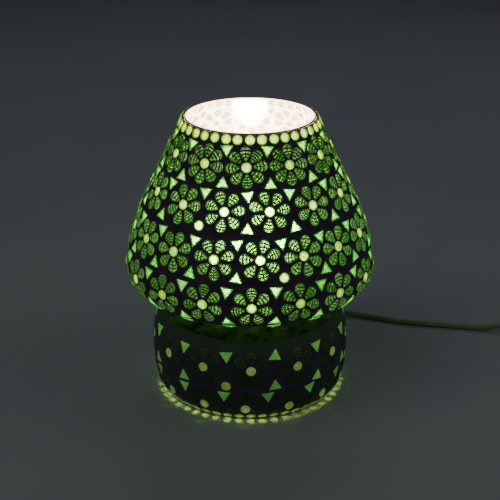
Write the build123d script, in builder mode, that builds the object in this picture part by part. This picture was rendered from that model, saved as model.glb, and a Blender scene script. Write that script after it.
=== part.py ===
from build123d import *
import math
import os
import random

# Mosaic glass table lamp: a blown, mushroom-shaped glass body covered with cut green glass tiles.
# Millimetres, +Z up.  The origin is the middle of the foot, on the table.  The front is -Y.
# Azimuths are degrees round the lamp: 0 is the front, +90 is +X.

# ------------------------------------------------------------------ driving dimensions
HEIGHT = 230.0            # table to rim
CONE = 25.4               # lean of the shade's upper wall, degrees
UPPER_R = 171.4           # long arc of the shade's wall, at the tile faces
JOIN = 9.0                # where the long arc meets the turned-under arc, degrees above level
LOWER_C = (75.4, 111.0)   # centre of the turned-under arc: radius, height
LOWER_R = 25.3
SHADE_EDGE = -62.0        # the shade's mosaic ends here, degrees below level
BARREL_R = 141.5          # bulge of the drum
BARREL_C = (80.4 - BARREL_R, 36.8)
TOP_R = 16.1              # rounding at the drum's upper edge
TOP_Z = 55.15
SHOULDER = 78.0           # the bare shoulder's normal, degrees above level
DRUM_EDGE = 60.0          # the drum's mosaic starts here, degrees above level
FOOT_R = 12.65            # rounding at the foot
FOOT_EDGE = -66.0         # the drum's mosaic ends here
NECK_R = 5.5              # waist between drum and shade, at the tile faces

TILE = 1.8                # thickness of a glass tile
BED = 0.5                 # adhesive and grout under a tile
GLASS = 2.2               # wall of the blown body
LIFT = 0.02               # a tile's back above the bed
RIM_ROUND = 0.8           # rounding of the blown rim
BED_TOP = HEIGHT - 0.9    # the grout stops just under the rim
PAD_R = 60.0              # felt pad under the foot
GLASS_OUT = TILE + BED
GLASS_IN = GLASS_OUT + GLASS

DISC_R = 3.8
PETAL_TIP = 1.2           # radius of a petal's inner end
PETAL_END = 4.0           # radius of a petal's outer end
PETAL_NEAR = 6.2          # flower centre to the inner end's centre
PETAL_FAR = 11.6          # flower centre to the outer end's centre
TRIANGLE_R = 6.1          # middle of a triangle to its corners
RIM_DISCS = 38
RIM_DISC_AT = 4.9         # rim to the first row's centres, along the wall
FOOT_DISCS = 50
FOOT_DISC_FIRST = 0.5     # azimuth of the first
FOOT_DISC_ANGLE = -48.0
BORDER_AT = 151.5         # rim to the border triangles under the shade

CORD_R = 2.5
EXIT_AZIMUTH = 150.0
EXIT_Z = 15.0
EXIT_HOLE_R = 5.5
EXIT_FROM = 70.0          # lamp axis to where the hole's cut starts
EXIT_CUT = 15.0
BED_HOLE_R = 9.0          # hole in the grout bed round the cord guard
NOSE_END = 101.0          # lamp axis to the end of the cord guard
CLEARING = 17.0           # bare glass round the cord guard

BULB_Z = 130.0            # middle of the bulb's globe
BULB_R = 30.0
BULB_TIP = 57.0
HOLDER_R = 20.0
HOLDER_TOP = 82.0

SWITCH_X = (256.0, 318.0)
SWITCH_Y = 83.0
SWITCH_W = 27.0
SWITCH_H = 19.0
SWITCH_SPLIT = 8.0        # the halves part on the cord's axis
PIVOT_Z = 13.0
ROCKER_TILT = 7.0
COIL_C = (338.0, 24.0)
COIL_R = (19.0, 40.5)
COIL_Z = (0.9, 15.6)
PLUG_X = (246.0, 282.0)   # front and back of the plug's body
PLUG_Y = -9.0
PLUG_Z = 6.9


def polar(centre, radius, angle):
    """Point on a circle in the radius-height plane."""
    a = math.radians(angle)
    return (centre[0] + radius * math.cos(a), centre[1] + radius * math.sin(a))


def tangent_centre(radius, height):
    """Centre of a circle that touches the drum's bulge from inside, at this height."""
    reach = BARREL_R - radius
    rise = height - BARREL_C[1]
    return (BARREL_C[0] + math.sqrt(reach ** 2 - rise ** 2), height)


def bulge_angle(centre):
    """Where that circle touches the bulge."""
    return math.degrees(math.atan2(centre[1] - BARREL_C[1], centre[0] - BARREL_C[0]))


UPPER_C = polar(LOWER_C, LOWER_R - UPPER_R, JOIN)
TOP_C = tangent_centre(TOP_R, TOP_Z)
FOOT_C = tangent_centre(FOOT_R, FOOT_R)
TOP_TURN = bulge_angle(TOP_C)
FOOT_TURN = bulge_angle(FOOT_C)
NECK_Z = LOWER_C[1] - LOWER_R - NECK_R
neck_reach = TOP_R + NECK_R - math.sin(math.radians(SHOULDER)) * (NECK_Z - TOP_C[1])
NECK_C = (TOP_C[0] + neck_reach / math.cos(math.radians(SHOULDER)), NECK_Z)


def rim_point(depth, height=HEIGHT):
    """Point of the shade's cone at a height, this deep under the tile faces."""
    low = polar(UPPER_C, UPPER_R - depth, CONE)
    return (low[0] - (height - low[1]) * math.tan(math.radians(CONE)), height)


def shade_line(depth, height, low):
    """The shade's outline from a height on the cone to an angle on the turned-under arc."""
    Line(rim_point(depth, height), polar(UPPER_C, UPPER_R - depth, CONE))
    CenterArc(UPPER_C, UPPER_R - depth, CONE, JOIN - CONE)
    CenterArc(LOWER_C, LOWER_R - depth, JOIN, low - JOIN)


def drum_line(depth, high, low):
    """The drum's outline from an angle on its upper edge to an angle on its foot."""
    CenterArc(TOP_C, TOP_R - depth, high, TOP_TURN - high)
    CenterArc(BARREL_C, BARREL_R - depth, TOP_TURN, FOOT_TURN - TOP_TURN)
    CenterArc(FOOT_C, FOOT_R - depth, FOOT_TURN, low - FOOT_TURN)


def body_line(depth):
    """The whole body's outline: shade, underside, waist, shoulder, drum and bottom."""
    shade_line(depth, HEIGHT, -90)
    Line(polar(LOWER_C, LOWER_R - depth, -90), polar(NECK_C, NECK_R + depth, 90))
    CenterArc(NECK_C, NECK_R + depth, 90, 90 + SHOULDER)
    Line(polar(NECK_C, NECK_R + depth, 180 + SHOULDER), polar(TOP_C, TOP_R - depth, SHOULDER))
    drum_line(depth, SHOULDER, -90)
    Line(polar(FOOT_C, FOOT_R - depth, -90), (0, depth))


def on_shade(distance):
    """Radius, height and normal of the shade's bed, this far down the wall from the rim."""
    depth = TILE
    start = rim_point(depth)
    low = polar(UPPER_C, UPPER_R - depth, CONE)
    cone = math.dist(start, low)
    arc = math.radians(CONE - JOIN) * (UPPER_R - depth)
    if distance < cone:
        share = distance / cone
        return (start[0] + (low[0] - start[0]) * share, start[1] + (low[1] - start[1]) * share, CONE)
    if distance < cone + arc:
        angle = CONE - math.degrees((distance - cone) / (UPPER_R - depth))
        return (*polar(UPPER_C, UPPER_R - depth, angle), angle)
    angle = JOIN - math.degrees((distance - cone - arc) / (LOWER_R - depth))
    return (*polar(LOWER_C, LOWER_R - depth, angle), angle)


def on_drum(distance):
    """Radius, height and normal of the drum's bed, this far down from the mosaic's upper edge."""
    depth = TILE
    top = math.radians(DRUM_EDGE - TOP_TURN) * (TOP_R - depth)
    bulge = math.radians(TOP_TURN - FOOT_TURN) * (BARREL_R - depth)
    if distance < top:
        angle = DRUM_EDGE - math.degrees(distance / (TOP_R - depth))
        return (*polar(TOP_C, TOP_R - depth, angle), angle)
    if distance < top + bulge:
        angle = TOP_TURN - math.degrees((distance - top) / (BARREL_R - depth))
        return (*polar(BARREL_C, BARREL_R - depth, angle), angle)
    angle = FOOT_TURN - math.degrees((distance - top - bulge) / (FOOT_R - depth))
    return (*polar(FOOT_C, FOOT_R - depth, angle), angle)


def outward(azimuth, elevation=0.0):
    """Unit vector that points away from the lamp's axis."""
    a, e = math.radians(azimuth), math.radians(elevation)
    return Vector(math.sin(a) * math.cos(e), -math.cos(a) * math.cos(e), math.sin(e))


def tile_plane(zone, distance, azimuth, turn=0.0):
    """Plane on the bed: x runs round the lamp, y up the wall, both turned by turn degrees."""
    r, z, elevation = zone(distance)
    a = math.radians(azimuth)
    around = Vector(math.cos(a), math.sin(a), 0)
    up = outward(azimuth, elevation + 90)
    t = math.radians(turn)
    normal = outward(azimuth, elevation)
    origin = Vector(r * math.sin(a), -r * math.cos(a), z) + normal * LIFT
    return Plane(origin=origin, x_dir=around * math.cos(t) + up * math.sin(t), z_dir=normal)


# ------------------------------------------------------------------ the mosaic's layout
# A row of flowers: name, zone, distance down the wall, count, azimuth of the first flower,
# petals as directions in the flower (0 is to the right, 90 is up), and the tiles in the gaps
# between its flowers, one letter for each gap, above and below the row:
# v a triangle that points down, a one that points up, o a disc.
def around(count, first):
    """Directions of the petals of a whole flower."""
    return [first + 360.0 / count * k for k in range(count)]


ABOVE, BELOW = 12.2, 13.2       # from a row's line to its gaps' tiles
ROWS = [
    ("row1", on_shade, 25.1, 12, -2.5, around(8, 90.0), "v" * 12, "a" * 5 + "o" + "a" * 6),
    ("row2", on_shade, 58.3, 14, 11.2, around(7, 5.0), "v" * 14, "a" * 7 + "o" + "a" * 4 + "oa"),
    ("row3", on_shade, 94.0, 17, 4.2, around(7, 23.0), "v" * 17, "o" + "a" * 8 + "o" + "a" * 7),
    ("row4", on_shade, 129.0, 17, 0.7, around(7, 90.0), "v" * 17, "a" * 17),
    ("row5", on_drum, 23.8, 13, 0.6, around(7, 90.0), "a" + "v" * 12, "a" * 12 + "o"),
    ("row6", on_drum, 57.6, 14, -2.5, [0.0, 45.0, 90.0, 135.0, 180.0], "v" * 14, ""),
]


def near_exit(plane):
    """True where a tile would lie under the cord guard."""
    centre = outward(EXIT_AZIMUTH) * 78.0 + Vector(0, 0, EXIT_Z)
    return (plane.origin - centre).length < CLEARING


def lay_mosaic():
    """Every tile's plane, by node name."""
    hand = random.Random(27)
    tiles = {}

    def lay(node, zone, distance, azimuth, turn):
        plane = tile_plane(zone, distance, azimuth, turn)
        if not near_exit(plane):
            tiles.setdefault(node, []).append(plane)

    for name, zone, line, count, first, petals, above, below in ROWS:
        part = "shade" if zone is on_shade else "drum"
        for k in range(count):
            middle = first + 360.0 / count * k + hand.uniform(-0.5, 0.5)
            down = line + hand.uniform(-0.5, 0.5)
            lay(part + "_flower_discs", zone, down, middle, 0.0)
            twist = hand.uniform(-5.0, 5.0) if len(petals) > 5 else 0.0
            for direction in petals:
                t = math.radians(direction + twist)
                reach = (PETAL_NEAR + PETAL_FAR) / 2
                low = down - reach * math.sin(t)
                radius = zone(low)[0]
                aside = math.degrees(reach * math.cos(t) / radius)
                lay(part + "_petals_" + name, zone, low, middle + aside, direction + twist - 90)
            gap = middle + 180.0 / count
            for letters, offset in ((above, -ABOVE), (below, BELOW)):
                if not letters:
                    continue
                shift = hand.uniform(-0.4, 0.4)
                turn = hand.uniform(-9.0, 9.0)
                if letters[k] == "o":
                    lay(part + "_gap_discs", zone, line + offset + shift, gap, 0.0)
                else:
                    point_up = 0.0 if letters[k] == "a" else 180.0
                    lay(part + "_triangles", zone, line + offset + shift, gap, point_up + turn)

    border = ROWS[3]
    for k in range(border[3]):
        gap = border[4] + 360.0 / border[3] * (k + 0.5)
        lay("shade_triangles", on_shade, BORDER_AT, gap, 180.0 + hand.uniform(-6.0, 6.0))
    for k in range(RIM_DISCS):
        lay("rim_discs", on_shade, RIM_DISC_AT, 360.0 / RIM_DISCS * (k + hand.uniform(-0.03, 0.03)), 0.0)
    top = math.radians(DRUM_EDGE - TOP_TURN) * (TOP_R - TILE)
    bulge = math.radians(TOP_TURN - FOOT_TURN) * (BARREL_R - TILE)
    foot = math.radians(FOOT_TURN - FOOT_DISC_ANGLE) * (FOOT_R - TILE)
    for k in range(FOOT_DISCS):
        lay("foot_discs", on_drum, top + bulge + foot, FOOT_DISC_FIRST + 360.0 / FOOT_DISCS * k, 0.0)
    return tiles


def disc_outline():
    Circle(DISC_R)


def triangle_outline():
    RegularPolygon(TRIANGLE_R, 3, rotation=90)


def petal_outline():
    """A teardrop: the narrow end points at the flower's middle."""
    middle = (PETAL_NEAR + PETAL_FAR) / 2
    with Locations((0, PETAL_FAR - middle)):
        Circle(PETAL_END)
    with Locations((0, PETAL_NEAR - middle)):
        Circle(PETAL_TIP)
    make_hull()


def write(part, label):
    part.label = label
    export_step(part, "parts/" + label + ".step")


def rounded_teeth(crest, root, low, pitch, count):
    """A rolled thread's outline: half waves between two radii, going up."""
    for k in range(count):
        z = low + pitch * k
        middle = (crest + root) / 2
        ThreePointArc((middle, z), (crest, z + pitch / 4), (middle, z + pitch / 2))
        ThreePointArc((middle, z + pitch / 2), (root, z + pitch * 3 / 4), (middle, z + pitch))


os.makedirs("parts", exist_ok=True)
exit_axis = Plane(origin=outward(EXIT_AZIMUTH) * EXIT_FROM + Vector(0, 0, EXIT_Z),
                  x_dir=(math.cos(math.radians(EXIT_AZIMUTH)), math.sin(math.radians(EXIT_AZIMUTH)), 0),
                  z_dir=outward(EXIT_AZIMUTH))

# ------------------------------------------------------------------ the blown glass body
with BuildPart() as glass_body:
    with BuildSketch(Plane.XZ):
        with BuildLine():
            body_line(GLASS_OUT)
            body_line(GLASS_IN)
            Line(rim_point(GLASS_OUT), rim_point(GLASS_IN))
            Line((0, GLASS_OUT), (0, GLASS_IN))
        make_face()
    revolve(axis=Axis.Z)
    rim_edges = glass_body.edges().group_by(Axis.Z)[-1]
    fillet(rim_edges, RIM_ROUND)
    with BuildSketch(exit_axis):
        Circle(EXIT_HOLE_R)
    extrude(amount=EXIT_CUT, mode=Mode.SUBTRACT)
write(glass_body.part, "glass_body")

with BuildPart() as shade_bed:
    with BuildSketch(Plane.XZ):
        with BuildLine():
            shade_line(TILE, BED_TOP, SHADE_EDGE)
            shade_line(GLASS_OUT, BED_TOP, SHADE_EDGE)
            Line(rim_point(TILE, BED_TOP), rim_point(GLASS_OUT, BED_TOP))
            Line(polar(LOWER_C, LOWER_R - TILE, SHADE_EDGE), polar(LOWER_C, LOWER_R - GLASS_OUT, SHADE_EDGE))
        make_face()
    revolve(axis=Axis.Z)
write(shade_bed.part, "shade_grout_bed")

with BuildPart() as drum_bed:
    with BuildSketch(Plane.XZ):
        with BuildLine():
            drum_line(TILE, DRUM_EDGE, FOOT_EDGE)
            drum_line(GLASS_OUT, DRUM_EDGE, FOOT_EDGE)
            Line(polar(TOP_C, TOP_R - TILE, DRUM_EDGE), polar(TOP_C, TOP_R - GLASS_OUT, DRUM_EDGE))
            Line(polar(FOOT_C, FOOT_R - TILE, FOOT_EDGE), polar(FOOT_C, FOOT_R - GLASS_OUT, FOOT_EDGE))
        make_face()
    revolve(axis=Axis.Z)
    with BuildSketch(exit_axis):
        Circle(BED_HOLE_R)
    extrude(amount=EXIT_CUT, mode=Mode.SUBTRACT)
write(drum_bed.part, "drum_grout_bed")

# ------------------------------------------------------------------ the tiles
for node, planes in lay_mosaic().items():
    with BuildPart() as tiles:
        with BuildSketch(*planes):
            if "discs" in node:
                disc_outline()
            elif "triangles" in node:
                triangle_outline()
            else:
                petal_outline()
        extrude(amount=TILE, clean=False)
    print(node, len(tiles.part.solids()), "tiles")
    write(tiles.part, node)

with BuildPart() as base_pad:
    Cylinder(PAD_R, GLASS_OUT, align=(Align.CENTER, Align.CENTER, Align.MIN))
write(base_pad.part, "base_pad")

# ------------------------------------------------------------------ the bulb
NECK_TUBE_R = 14.2                  # the envelope's neck
NECK_TUBE_Z = (80.5, 91.0)
FLARE_R = (NECK_TUBE_R ** 2 + (BULB_Z - NECK_TUBE_Z[1]) ** 2 - BULB_R ** 2) / (2 * (BULB_R - NECK_TUBE_R))
FLARE_C = (NECK_TUBE_R + FLARE_R, NECK_TUBE_Z[1])
FLARE_TURN = math.degrees(math.atan2(BULB_Z - FLARE_C[1], FLARE_C[0]))
ENVELOPE = 1.0


def envelope_line(depth):
    """The envelope's outline: neck, flare and globe."""
    Line((NECK_TUBE_R - depth, NECK_TUBE_Z[0]), (NECK_TUBE_R - depth, NECK_TUBE_Z[1]))
    CenterArc(FLARE_C, FLARE_R + depth, 180, -FLARE_TURN)
    CenterArc((0, BULB_Z), BULB_R - depth, -FLARE_TURN, 90 + FLARE_TURN)


with BuildPart() as bulb_envelope:
    with BuildSketch(Plane.XZ):
        with BuildLine():
            envelope_line(0)
            envelope_line(ENVELOPE)
            Line((NECK_TUBE_R, NECK_TUBE_Z[0]), (NECK_TUBE_R - ENVELOPE, NECK_TUBE_Z[0]))
            Line((0, BULB_Z + BULB_R), (0, BULB_Z + BULB_R - ENVELOPE))
        make_face()
    revolve(axis=Axis.Z)
write(bulb_envelope.part, "bulb_envelope")

THREAD_PITCH = 3.6
THREAD_Z = 62.0
TURNS = 4
CAP_TOP = THREAD_Z + THREAD_PITCH * TURNS
CAP_Z = 60.5                        # the cap's lower edge
CAP_BORE = 11.4
CAP_R = 12.7                        # plain part of the cap, half way up its thread
CREST_R = 13.1
ROOT_R = 12.3
INSULATOR_Z = 58.6
CONTACT_R = 4.6
with BuildPart() as bulb_cap:
    with BuildSketch(Plane.XZ):
        with BuildLine():
            Line((CAP_BORE, CAP_Z), (CAP_R, CAP_Z))
            Line((CAP_R, CAP_Z), (CAP_R, THREAD_Z))
            rounded_teeth(CREST_R, ROOT_R, THREAD_Z, THREAD_PITCH, TURNS)
            Polyline((CAP_R, CAP_TOP), (NECK_TUBE_R, NECK_TUBE_Z[0]), (CAP_BORE, NECK_TUBE_Z[0]),
                     (CAP_BORE, CAP_Z))
        make_face()
    revolve(axis=Axis.Z)
write(bulb_cap.part, "bulb_cap")

with BuildPart() as bulb_insulator:
    with BuildSketch(Plane.XZ):
        with BuildLine():
            Polyline((0, INSULATOR_Z), (5.0, INSULATOR_Z), (11.0, CAP_Z), (CAP_R, CAP_Z))
            Polyline((CAP_BORE, CAP_Z), (CAP_BORE, THREAD_Z), (0, THREAD_Z), (0, INSULATOR_Z))
            Line((CAP_R, CAP_Z), (CAP_BORE, CAP_Z))
        make_face()
    revolve(axis=Axis.Z)
write(bulb_insulator.part, "bulb_insulator")

with BuildPart() as bulb_contact:
    with BuildSketch(Plane.XY.offset(BULB_TIP)):
        Circle(CONTACT_R)
    extrude(amount=INSULATOR_Z - BULB_TIP)
    fillet(bulb_contact.edges().group_by(Axis.Z)[0], 1.0)
write(bulb_contact.part, "bulb_contact")

STEM_TOP = 106.0
STEM_R = NECK_TUBE_R - ENVELOPE     # the stem's flare closes the neck
WIRE_X = 1.6                        # lead-in wires, either side of the axis
WIRE_R = 0.4
WIRE_TOP = 124.0
SUPPORT_X = 14.0                    # half the span of the bowed filament
SUPPORT_Z = 128.0
SUPPORT_BOW = 20.0
SUPPORT_R = 0.6
with BuildPart() as bulb_stem:
    with BuildSketch(Plane.XZ):
        with BuildLine():
            Polyline((0, NECK_TUBE_Z[0]), (STEM_R, NECK_TUBE_Z[0]), (STEM_R, 82.0), (5.0, 92.0),
                     (3.0, STEM_TOP), (0, STEM_TOP), (0, NECK_TUBE_Z[0]))
        make_face()
    revolve(axis=Axis.Z)
write(bulb_stem.part, "bulb_stem")

with BuildPart() as bulb_filament:
    for side in (-1, 1):
        with BuildSketch(Plane.XY.offset(STEM_TOP)):
            with Locations((side * WIRE_X, 0)):
                Circle(WIRE_R)
        extrude(amount=WIRE_TOP - STEM_TOP)
    with BuildLine():
        support = RadiusArc((-SUPPORT_X, 0, SUPPORT_Z), (SUPPORT_X, 0, SUPPORT_Z), SUPPORT_BOW)
    with BuildSketch(Plane(origin=support @ 0, z_dir=support % 0)):
        Circle(SUPPORT_R)
    sweep()
    for side in (-1, 1):
        with BuildLine():
            riser = Line((side * WIRE_X, 0, WIRE_TOP), (side * (SUPPORT_X - 0.5), 0, SUPPORT_Z + 0.2))
        with BuildSketch(Plane(origin=riser @ 0, z_dir=riser % 0)):
            Circle(WIRE_R)
        sweep()
write(bulb_filament.part, "bulb_filament")

# ------------------------------------------------------------------ the lampholder
INSERT_Z = (48.0, 56.0)
INSERT_R = 15.4
SKIRT_BORE = 15.5
SCREW_AT = 9.0                      # the terminal screws, from the axis
SCREW_R = 1.5
SCREW_HEAD = 2.2
SCREW_HEAD_R = 2.8
SHELL_R = (13.9, 14.9)              # the threaded shell, inside and outside
SHELL_ROOT = 14.25                  # its thread, which clears the cap's by 0.45
SHELL_CREST = 13.55
with BuildPart() as holder_insert:
    with BuildSketch(Plane.XY.offset(INSERT_Z[0])):
        Circle(INSERT_R)
        with PolarLocations(SCREW_AT, 2):
            Circle(SCREW_R, mode=Mode.SUBTRACT)
    extrude(amount=INSERT_Z[1] - INSERT_Z[0])
write(holder_insert.part, "holder_insert")

with BuildPart() as holder_contact:
    with BuildSketch(Plane.XY.offset(INSERT_Z[1])):
        SlotOverall(11.0, 5.0)
    extrude(amount=0.6)
write(holder_contact.part, "holder_contact")

with BuildPart() as holder_screws:
    with BuildSketch(Plane.XY.offset(INSERT_Z[0])):
        with PolarLocations(SCREW_AT, 2):
            Circle(SCREW_R)
    extrude(amount=6.0)
    with BuildSketch(Plane.XY.offset(INSERT_Z[0])):
        with PolarLocations(SCREW_AT, 2):
            Circle(SCREW_HEAD_R)
    extrude(amount=-SCREW_HEAD)
write(holder_screws.part, "holder_screws")

with BuildPart() as holder_shell:
    with BuildSketch(Plane.XZ):
        with BuildLine():
            Polyline((SHELL_R[0], THREAD_Z), (SHELL_R[0], INSERT_Z[1]), (SHELL_R[1], INSERT_Z[1]),
                     (SHELL_R[1], CAP_TOP), (SHELL_R[0], CAP_TOP))
            rounded_teeth(SHELL_ROOT, SHELL_CREST, THREAD_Z, THREAD_PITCH, TURNS)
        make_face()
    revolve(axis=Axis.Z)
write(holder_shell.part, "holder_shell")

SKIRT_Z = 44.0
SKIRT_THREAD_R = HOLDER_R - 0.6     # half way up the thread for the shade rings
SKIRT_THREAD = (64.0, 2.0, 8)       # its start, pitch and turns
SKIRT_STEP = 62.6                   # where the skirt steps in to the thread
with BuildPart() as holder_skirt:
    with BuildSketch(Plane.XZ):
        with BuildLine():
            Polyline((SKIRT_BORE, SKIRT_Z), (HOLDER_R, SKIRT_Z), (HOLDER_R, SKIRT_STEP - 0.6),
                     (SKIRT_THREAD_R, SKIRT_STEP))
            Line((SKIRT_THREAD_R, SKIRT_STEP), (SKIRT_THREAD_R, SKIRT_THREAD[0]))
            rounded_teeth(SKIRT_THREAD_R + 0.4, SKIRT_THREAD_R - 0.4, *SKIRT_THREAD)
            Polyline((SKIRT_THREAD_R, SKIRT_THREAD[0] + SKIRT_THREAD[1] * SKIRT_THREAD[2]),
                     (SKIRT_THREAD_R, HOLDER_TOP - 1.0), (SKIRT_THREAD_R - 1.0, HOLDER_TOP),
                     (SKIRT_BORE, HOLDER_TOP), (SKIRT_BORE, SKIRT_Z))
        make_face()
    revolve(axis=Axis.Z)
write(holder_skirt.part, "holder_skirt")

NIPPLE_R = (2.6, 5.0)               # the hollow threaded nipple at the cord's entry
NIPPLE_Z = 31.0
NIPPLE_L = 12.5
NUT_L = 3.5
CAP_FLOOR = (37.0, 40.0)            # the cap's bottom, where the nut pulls on it
with BuildPart() as holder_cap:
    with BuildSketch(Plane.XZ):
        with BuildLine():
            Polyline((NIPPLE_R[1] + 0.1, CAP_FLOOR[0]), (9.0, CAP_FLOOR[0]), (16.0, 39.0))
            RadiusArc((16.0, 39.0), (HOLDER_R, SKIRT_Z), 7.0)
            Polyline((HOLDER_R, SKIRT_Z), (INSERT_R, SKIRT_Z), (INSERT_R, INSERT_Z[0]),
                     (13.0, INSERT_Z[0]), (13.0, 42.5), (9.0, CAP_FLOOR[1]),
                     (NIPPLE_R[1] + 0.1, CAP_FLOOR[1]), (NIPPLE_R[1] + 0.1, CAP_FLOOR[0]))
        make_face()
    revolve(axis=Axis.Z)
write(holder_cap.part, "holder_cap")

with BuildPart() as entry_nipple:
    with BuildSketch(Plane.XY.offset(NIPPLE_Z)):
        Circle(NIPPLE_R[1])
        Circle(NIPPLE_R[0], mode=Mode.SUBTRACT)
    extrude(amount=NIPPLE_L)
write(entry_nipple.part, "entry_nipple")

with BuildPart() as nipple_nut:
    with BuildSketch(Plane.XY.offset(CAP_FLOOR[0] - NUT_L)):
        RegularPolygon(8.0, 6)
        Circle(NIPPLE_R[1] + 0.05, mode=Mode.SUBTRACT)
    extrude(amount=NUT_L)
write(nipple_nut.part, "nipple_nut")

# ------------------------------------------------------------------ the bracket in the neck
RING_Z = 72.0
STRIP = 1.2
ARM_TOP = 95.0
FLOOR_Z = LOWER_C[1] - LOWER_R + GLASS_IN      # the shade's glass floor round the neck
ARMS = (30.0, 150.0, 270.0)
ARM_W = 8.0
ARM_END = 60.0                                 # lamp axis to the arms' ends
FOOT_TURN_R = 40.0                             # where an arm turns level
RING_R = 26.0
RING_H = 4.0
NOTCHES = 24
TIP_FROM = 50.0                                # lamp axis to the rubber tips
TIP_W = 12.0
TIP_OVER = 1.8                                 # rubber above the arm
TIP_FIT = 0.04                                 # the slot's clearance on the arm


def knurled_ring(low, height):
    """A threaded clamping ring with finger notches."""
    with BuildPart() as ring:
        with BuildSketch(Plane.XY.offset(low)):
            Circle(RING_R)
            Circle(HOLDER_R + 0.05, mode=Mode.SUBTRACT)
            with PolarLocations(RING_R + 0.4, NOTCHES):
                Circle(1.0, mode=Mode.SUBTRACT)
        extrude(amount=height)
    return ring.part


write(knurled_ring(RING_Z - RING_H, RING_H), "lower_shade_ring")
write(knurled_ring(RING_Z + STRIP, RING_H), "upper_shade_ring")

with BuildPart() as neck_bracket:
    with BuildSketch(Plane.XY.offset(RING_Z)):
        Circle(RING_R + 1.0)
        Circle(HOLDER_R + 0.1, mode=Mode.SUBTRACT)
    extrude(amount=STRIP)
    for azimuth in ARMS:
        arm = Plane(origin=(0, 0, 0), x_dir=outward(azimuth), z_dir=outward(azimuth - 90))
        with BuildSketch(arm):
            with BuildLine():
                Polyline((RING_R - 1.0, RING_Z), (33.5, RING_Z), (FOOT_TURN_R, ARM_TOP - STRIP),
                         (ARM_END, ARM_TOP - STRIP), (ARM_END, ARM_TOP), (FOOT_TURN_R - 1.0, ARM_TOP),
                         (32.6, RING_Z + STRIP), (RING_R - 1.0, RING_Z + STRIP), (RING_R - 1.0, RING_Z))
            make_face()
        extrude(amount=ARM_W / 2, both=True)
write(neck_bracket.part, "neck_bracket")

with BuildPart() as bracket_tips:
    tip_top = ARM_TOP + TIP_OVER
    for azimuth in ARMS:
        tip = Plane(origin=outward(azimuth) * TIP_FROM + Vector(0, 0, (FLOOR_Z + tip_top) / 2),
                    x_dir=outward(azimuth + 90), z_dir=outward(azimuth))
        with BuildSketch(tip):
            RectangleRounded(TIP_W, tip_top - FLOOR_Z, 1.6)
        extrude(amount=TIP_W)
        slot = Plane(origin=outward(azimuth) * TIP_FROM + Vector(0, 0, ARM_TOP - STRIP / 2),
                     x_dir=outward(azimuth + 90), z_dir=outward(azimuth))
        with BuildSketch(slot):
            Rectangle(ARM_W + TIP_FIT, STRIP + TIP_FIT)
        extrude(amount=ARM_END - TIP_FROM + TIP_FIT / 2, mode=Mode.SUBTRACT)
write(bracket_tips.part, "bracket_tips")

# ------------------------------------------------------------------ where the cord enters
GUARD_R = 8.0
GUARD_FROM = 70.8                          # lamp axis to the guard's inner end
NOSE_L = 21.6
NOSE_R = 5.6
CORD_FIT = 0.05                            # clearance of a grommet on the cord
with BuildPart() as cord_guard:
    face_r = NOSE_END - NOSE_L             # outer face of the flange
    with BuildSketch(exit_axis.offset(GUARD_FROM - EXIT_FROM)):
        Circle(GUARD_R)
    extrude(amount=face_r - GUARD_FROM)
    add(glass_body.part, mode=Mode.SUBTRACT)
    with BuildSketch(exit_axis.offset(face_r - EXIT_FROM)):
        Circle(NOSE_R)
    extrude(amount=NOSE_L, taper=5.0)
    with BuildSketch(exit_axis):
        Circle(CORD_R + CORD_FIT)
    extrude(amount=NOSE_END - EXIT_FROM + 1.0, both=True, mode=Mode.SUBTRACT)
write(cord_guard.part, "cord_guard")


def corner_radii(points):
    """The widest arc for each corner: 0.45 of its shorter run, by half the turn's tangent."""
    radii = []
    for before, here, after in zip(points, points[1:], points[2:]):
        first, second = Vector(*here) - Vector(*before), Vector(*after) - Vector(*here)
        half = math.radians(first.get_angle(second)) / 2
        radii.append(0.45 * min(first.length, second.length) / math.tan(half))
    return radii


def cord_tube(points, label):
    """A stretch of cord: straight runs joined by tangent arcs."""
    radii = corner_radii(points)
    with BuildPart() as tube:
        with BuildLine() as path:
            FilletPolyline(*points, radius=radii)
        start = Vector(*points[0])
        with BuildSketch(Plane(origin=start, z_dir=Vector(*points[1]) - start)):
            Circle(CORD_R)
        sweep()
    length = path.wire().length
    ratio = tube.part.volume / (math.pi * CORD_R ** 2 * length)
    print(label, "length %.0f" % length, "radii", ["%.0f" % r for r in radii], "volume ratio %.4f" % ratio)
    write(tube.part, label)


lead_end = outward(EXIT_AZIMUTH) * NOSE_END
LEAD_TOP = 41.0           # the lead ends inside the nipple
LEAD_ROUTE = [(0, 0, LEAD_TOP), (0, 0, EXIT_Z), (lead_end.X, lead_end.Y, EXIT_Z)]
LEAD_BEND = 14.0
with BuildPart() as inner_lead:
    with BuildLine():
        FilletPolyline(*LEAD_ROUTE, radius=LEAD_BEND)
    with BuildSketch(Plane.XY.offset(LEAD_TOP)):
        Circle(CORD_R)
    sweep()
write(inner_lead.part, "inner_lead")

# The cord's own route over the table, from the guard to the switch, and on to the coil and the plug.
LAMP_CORD = [(lead_end.X, lead_end.Y, EXIT_Z), (58.5, lead_end.Y + 13.86, EXIT_Z), (69.5, 113.0, 9.4),
             (88.0, 119.5, 3.4), (115.0, 110.0, 2.5), (144.0, 98.5, 2.5), (178.0, 93.2, 2.5),
             (206.0, 87.5, 2.5), (222.0, 84.0, 4.6), (235.0, SWITCH_Y, SWITCH_SPLIT),
             (247.0, SWITCH_Y, SWITCH_SPLIT)]
LINK_CORD = [(327.0, SWITCH_Y, SWITCH_SPLIT), (338.0, SWITCH_Y, SWITCH_SPLIT), (352.0, 77.5, 5.0),
             (365.0, 65.0, 3.4), (373.0, 47.0, 3.4), (376.0, 29.0, 3.4)]
PLUG_CORD = [(330.0, PLUG_Y, 13.1), (321.0, PLUG_Y + 0.3, 12.2), (310.5, PLUG_Y, PLUG_Z),
             (299.0, PLUG_Y, PLUG_Z)]
cord_tube(LAMP_CORD, "lamp_cord")
cord_tube(LINK_CORD, "link_cord")
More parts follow.
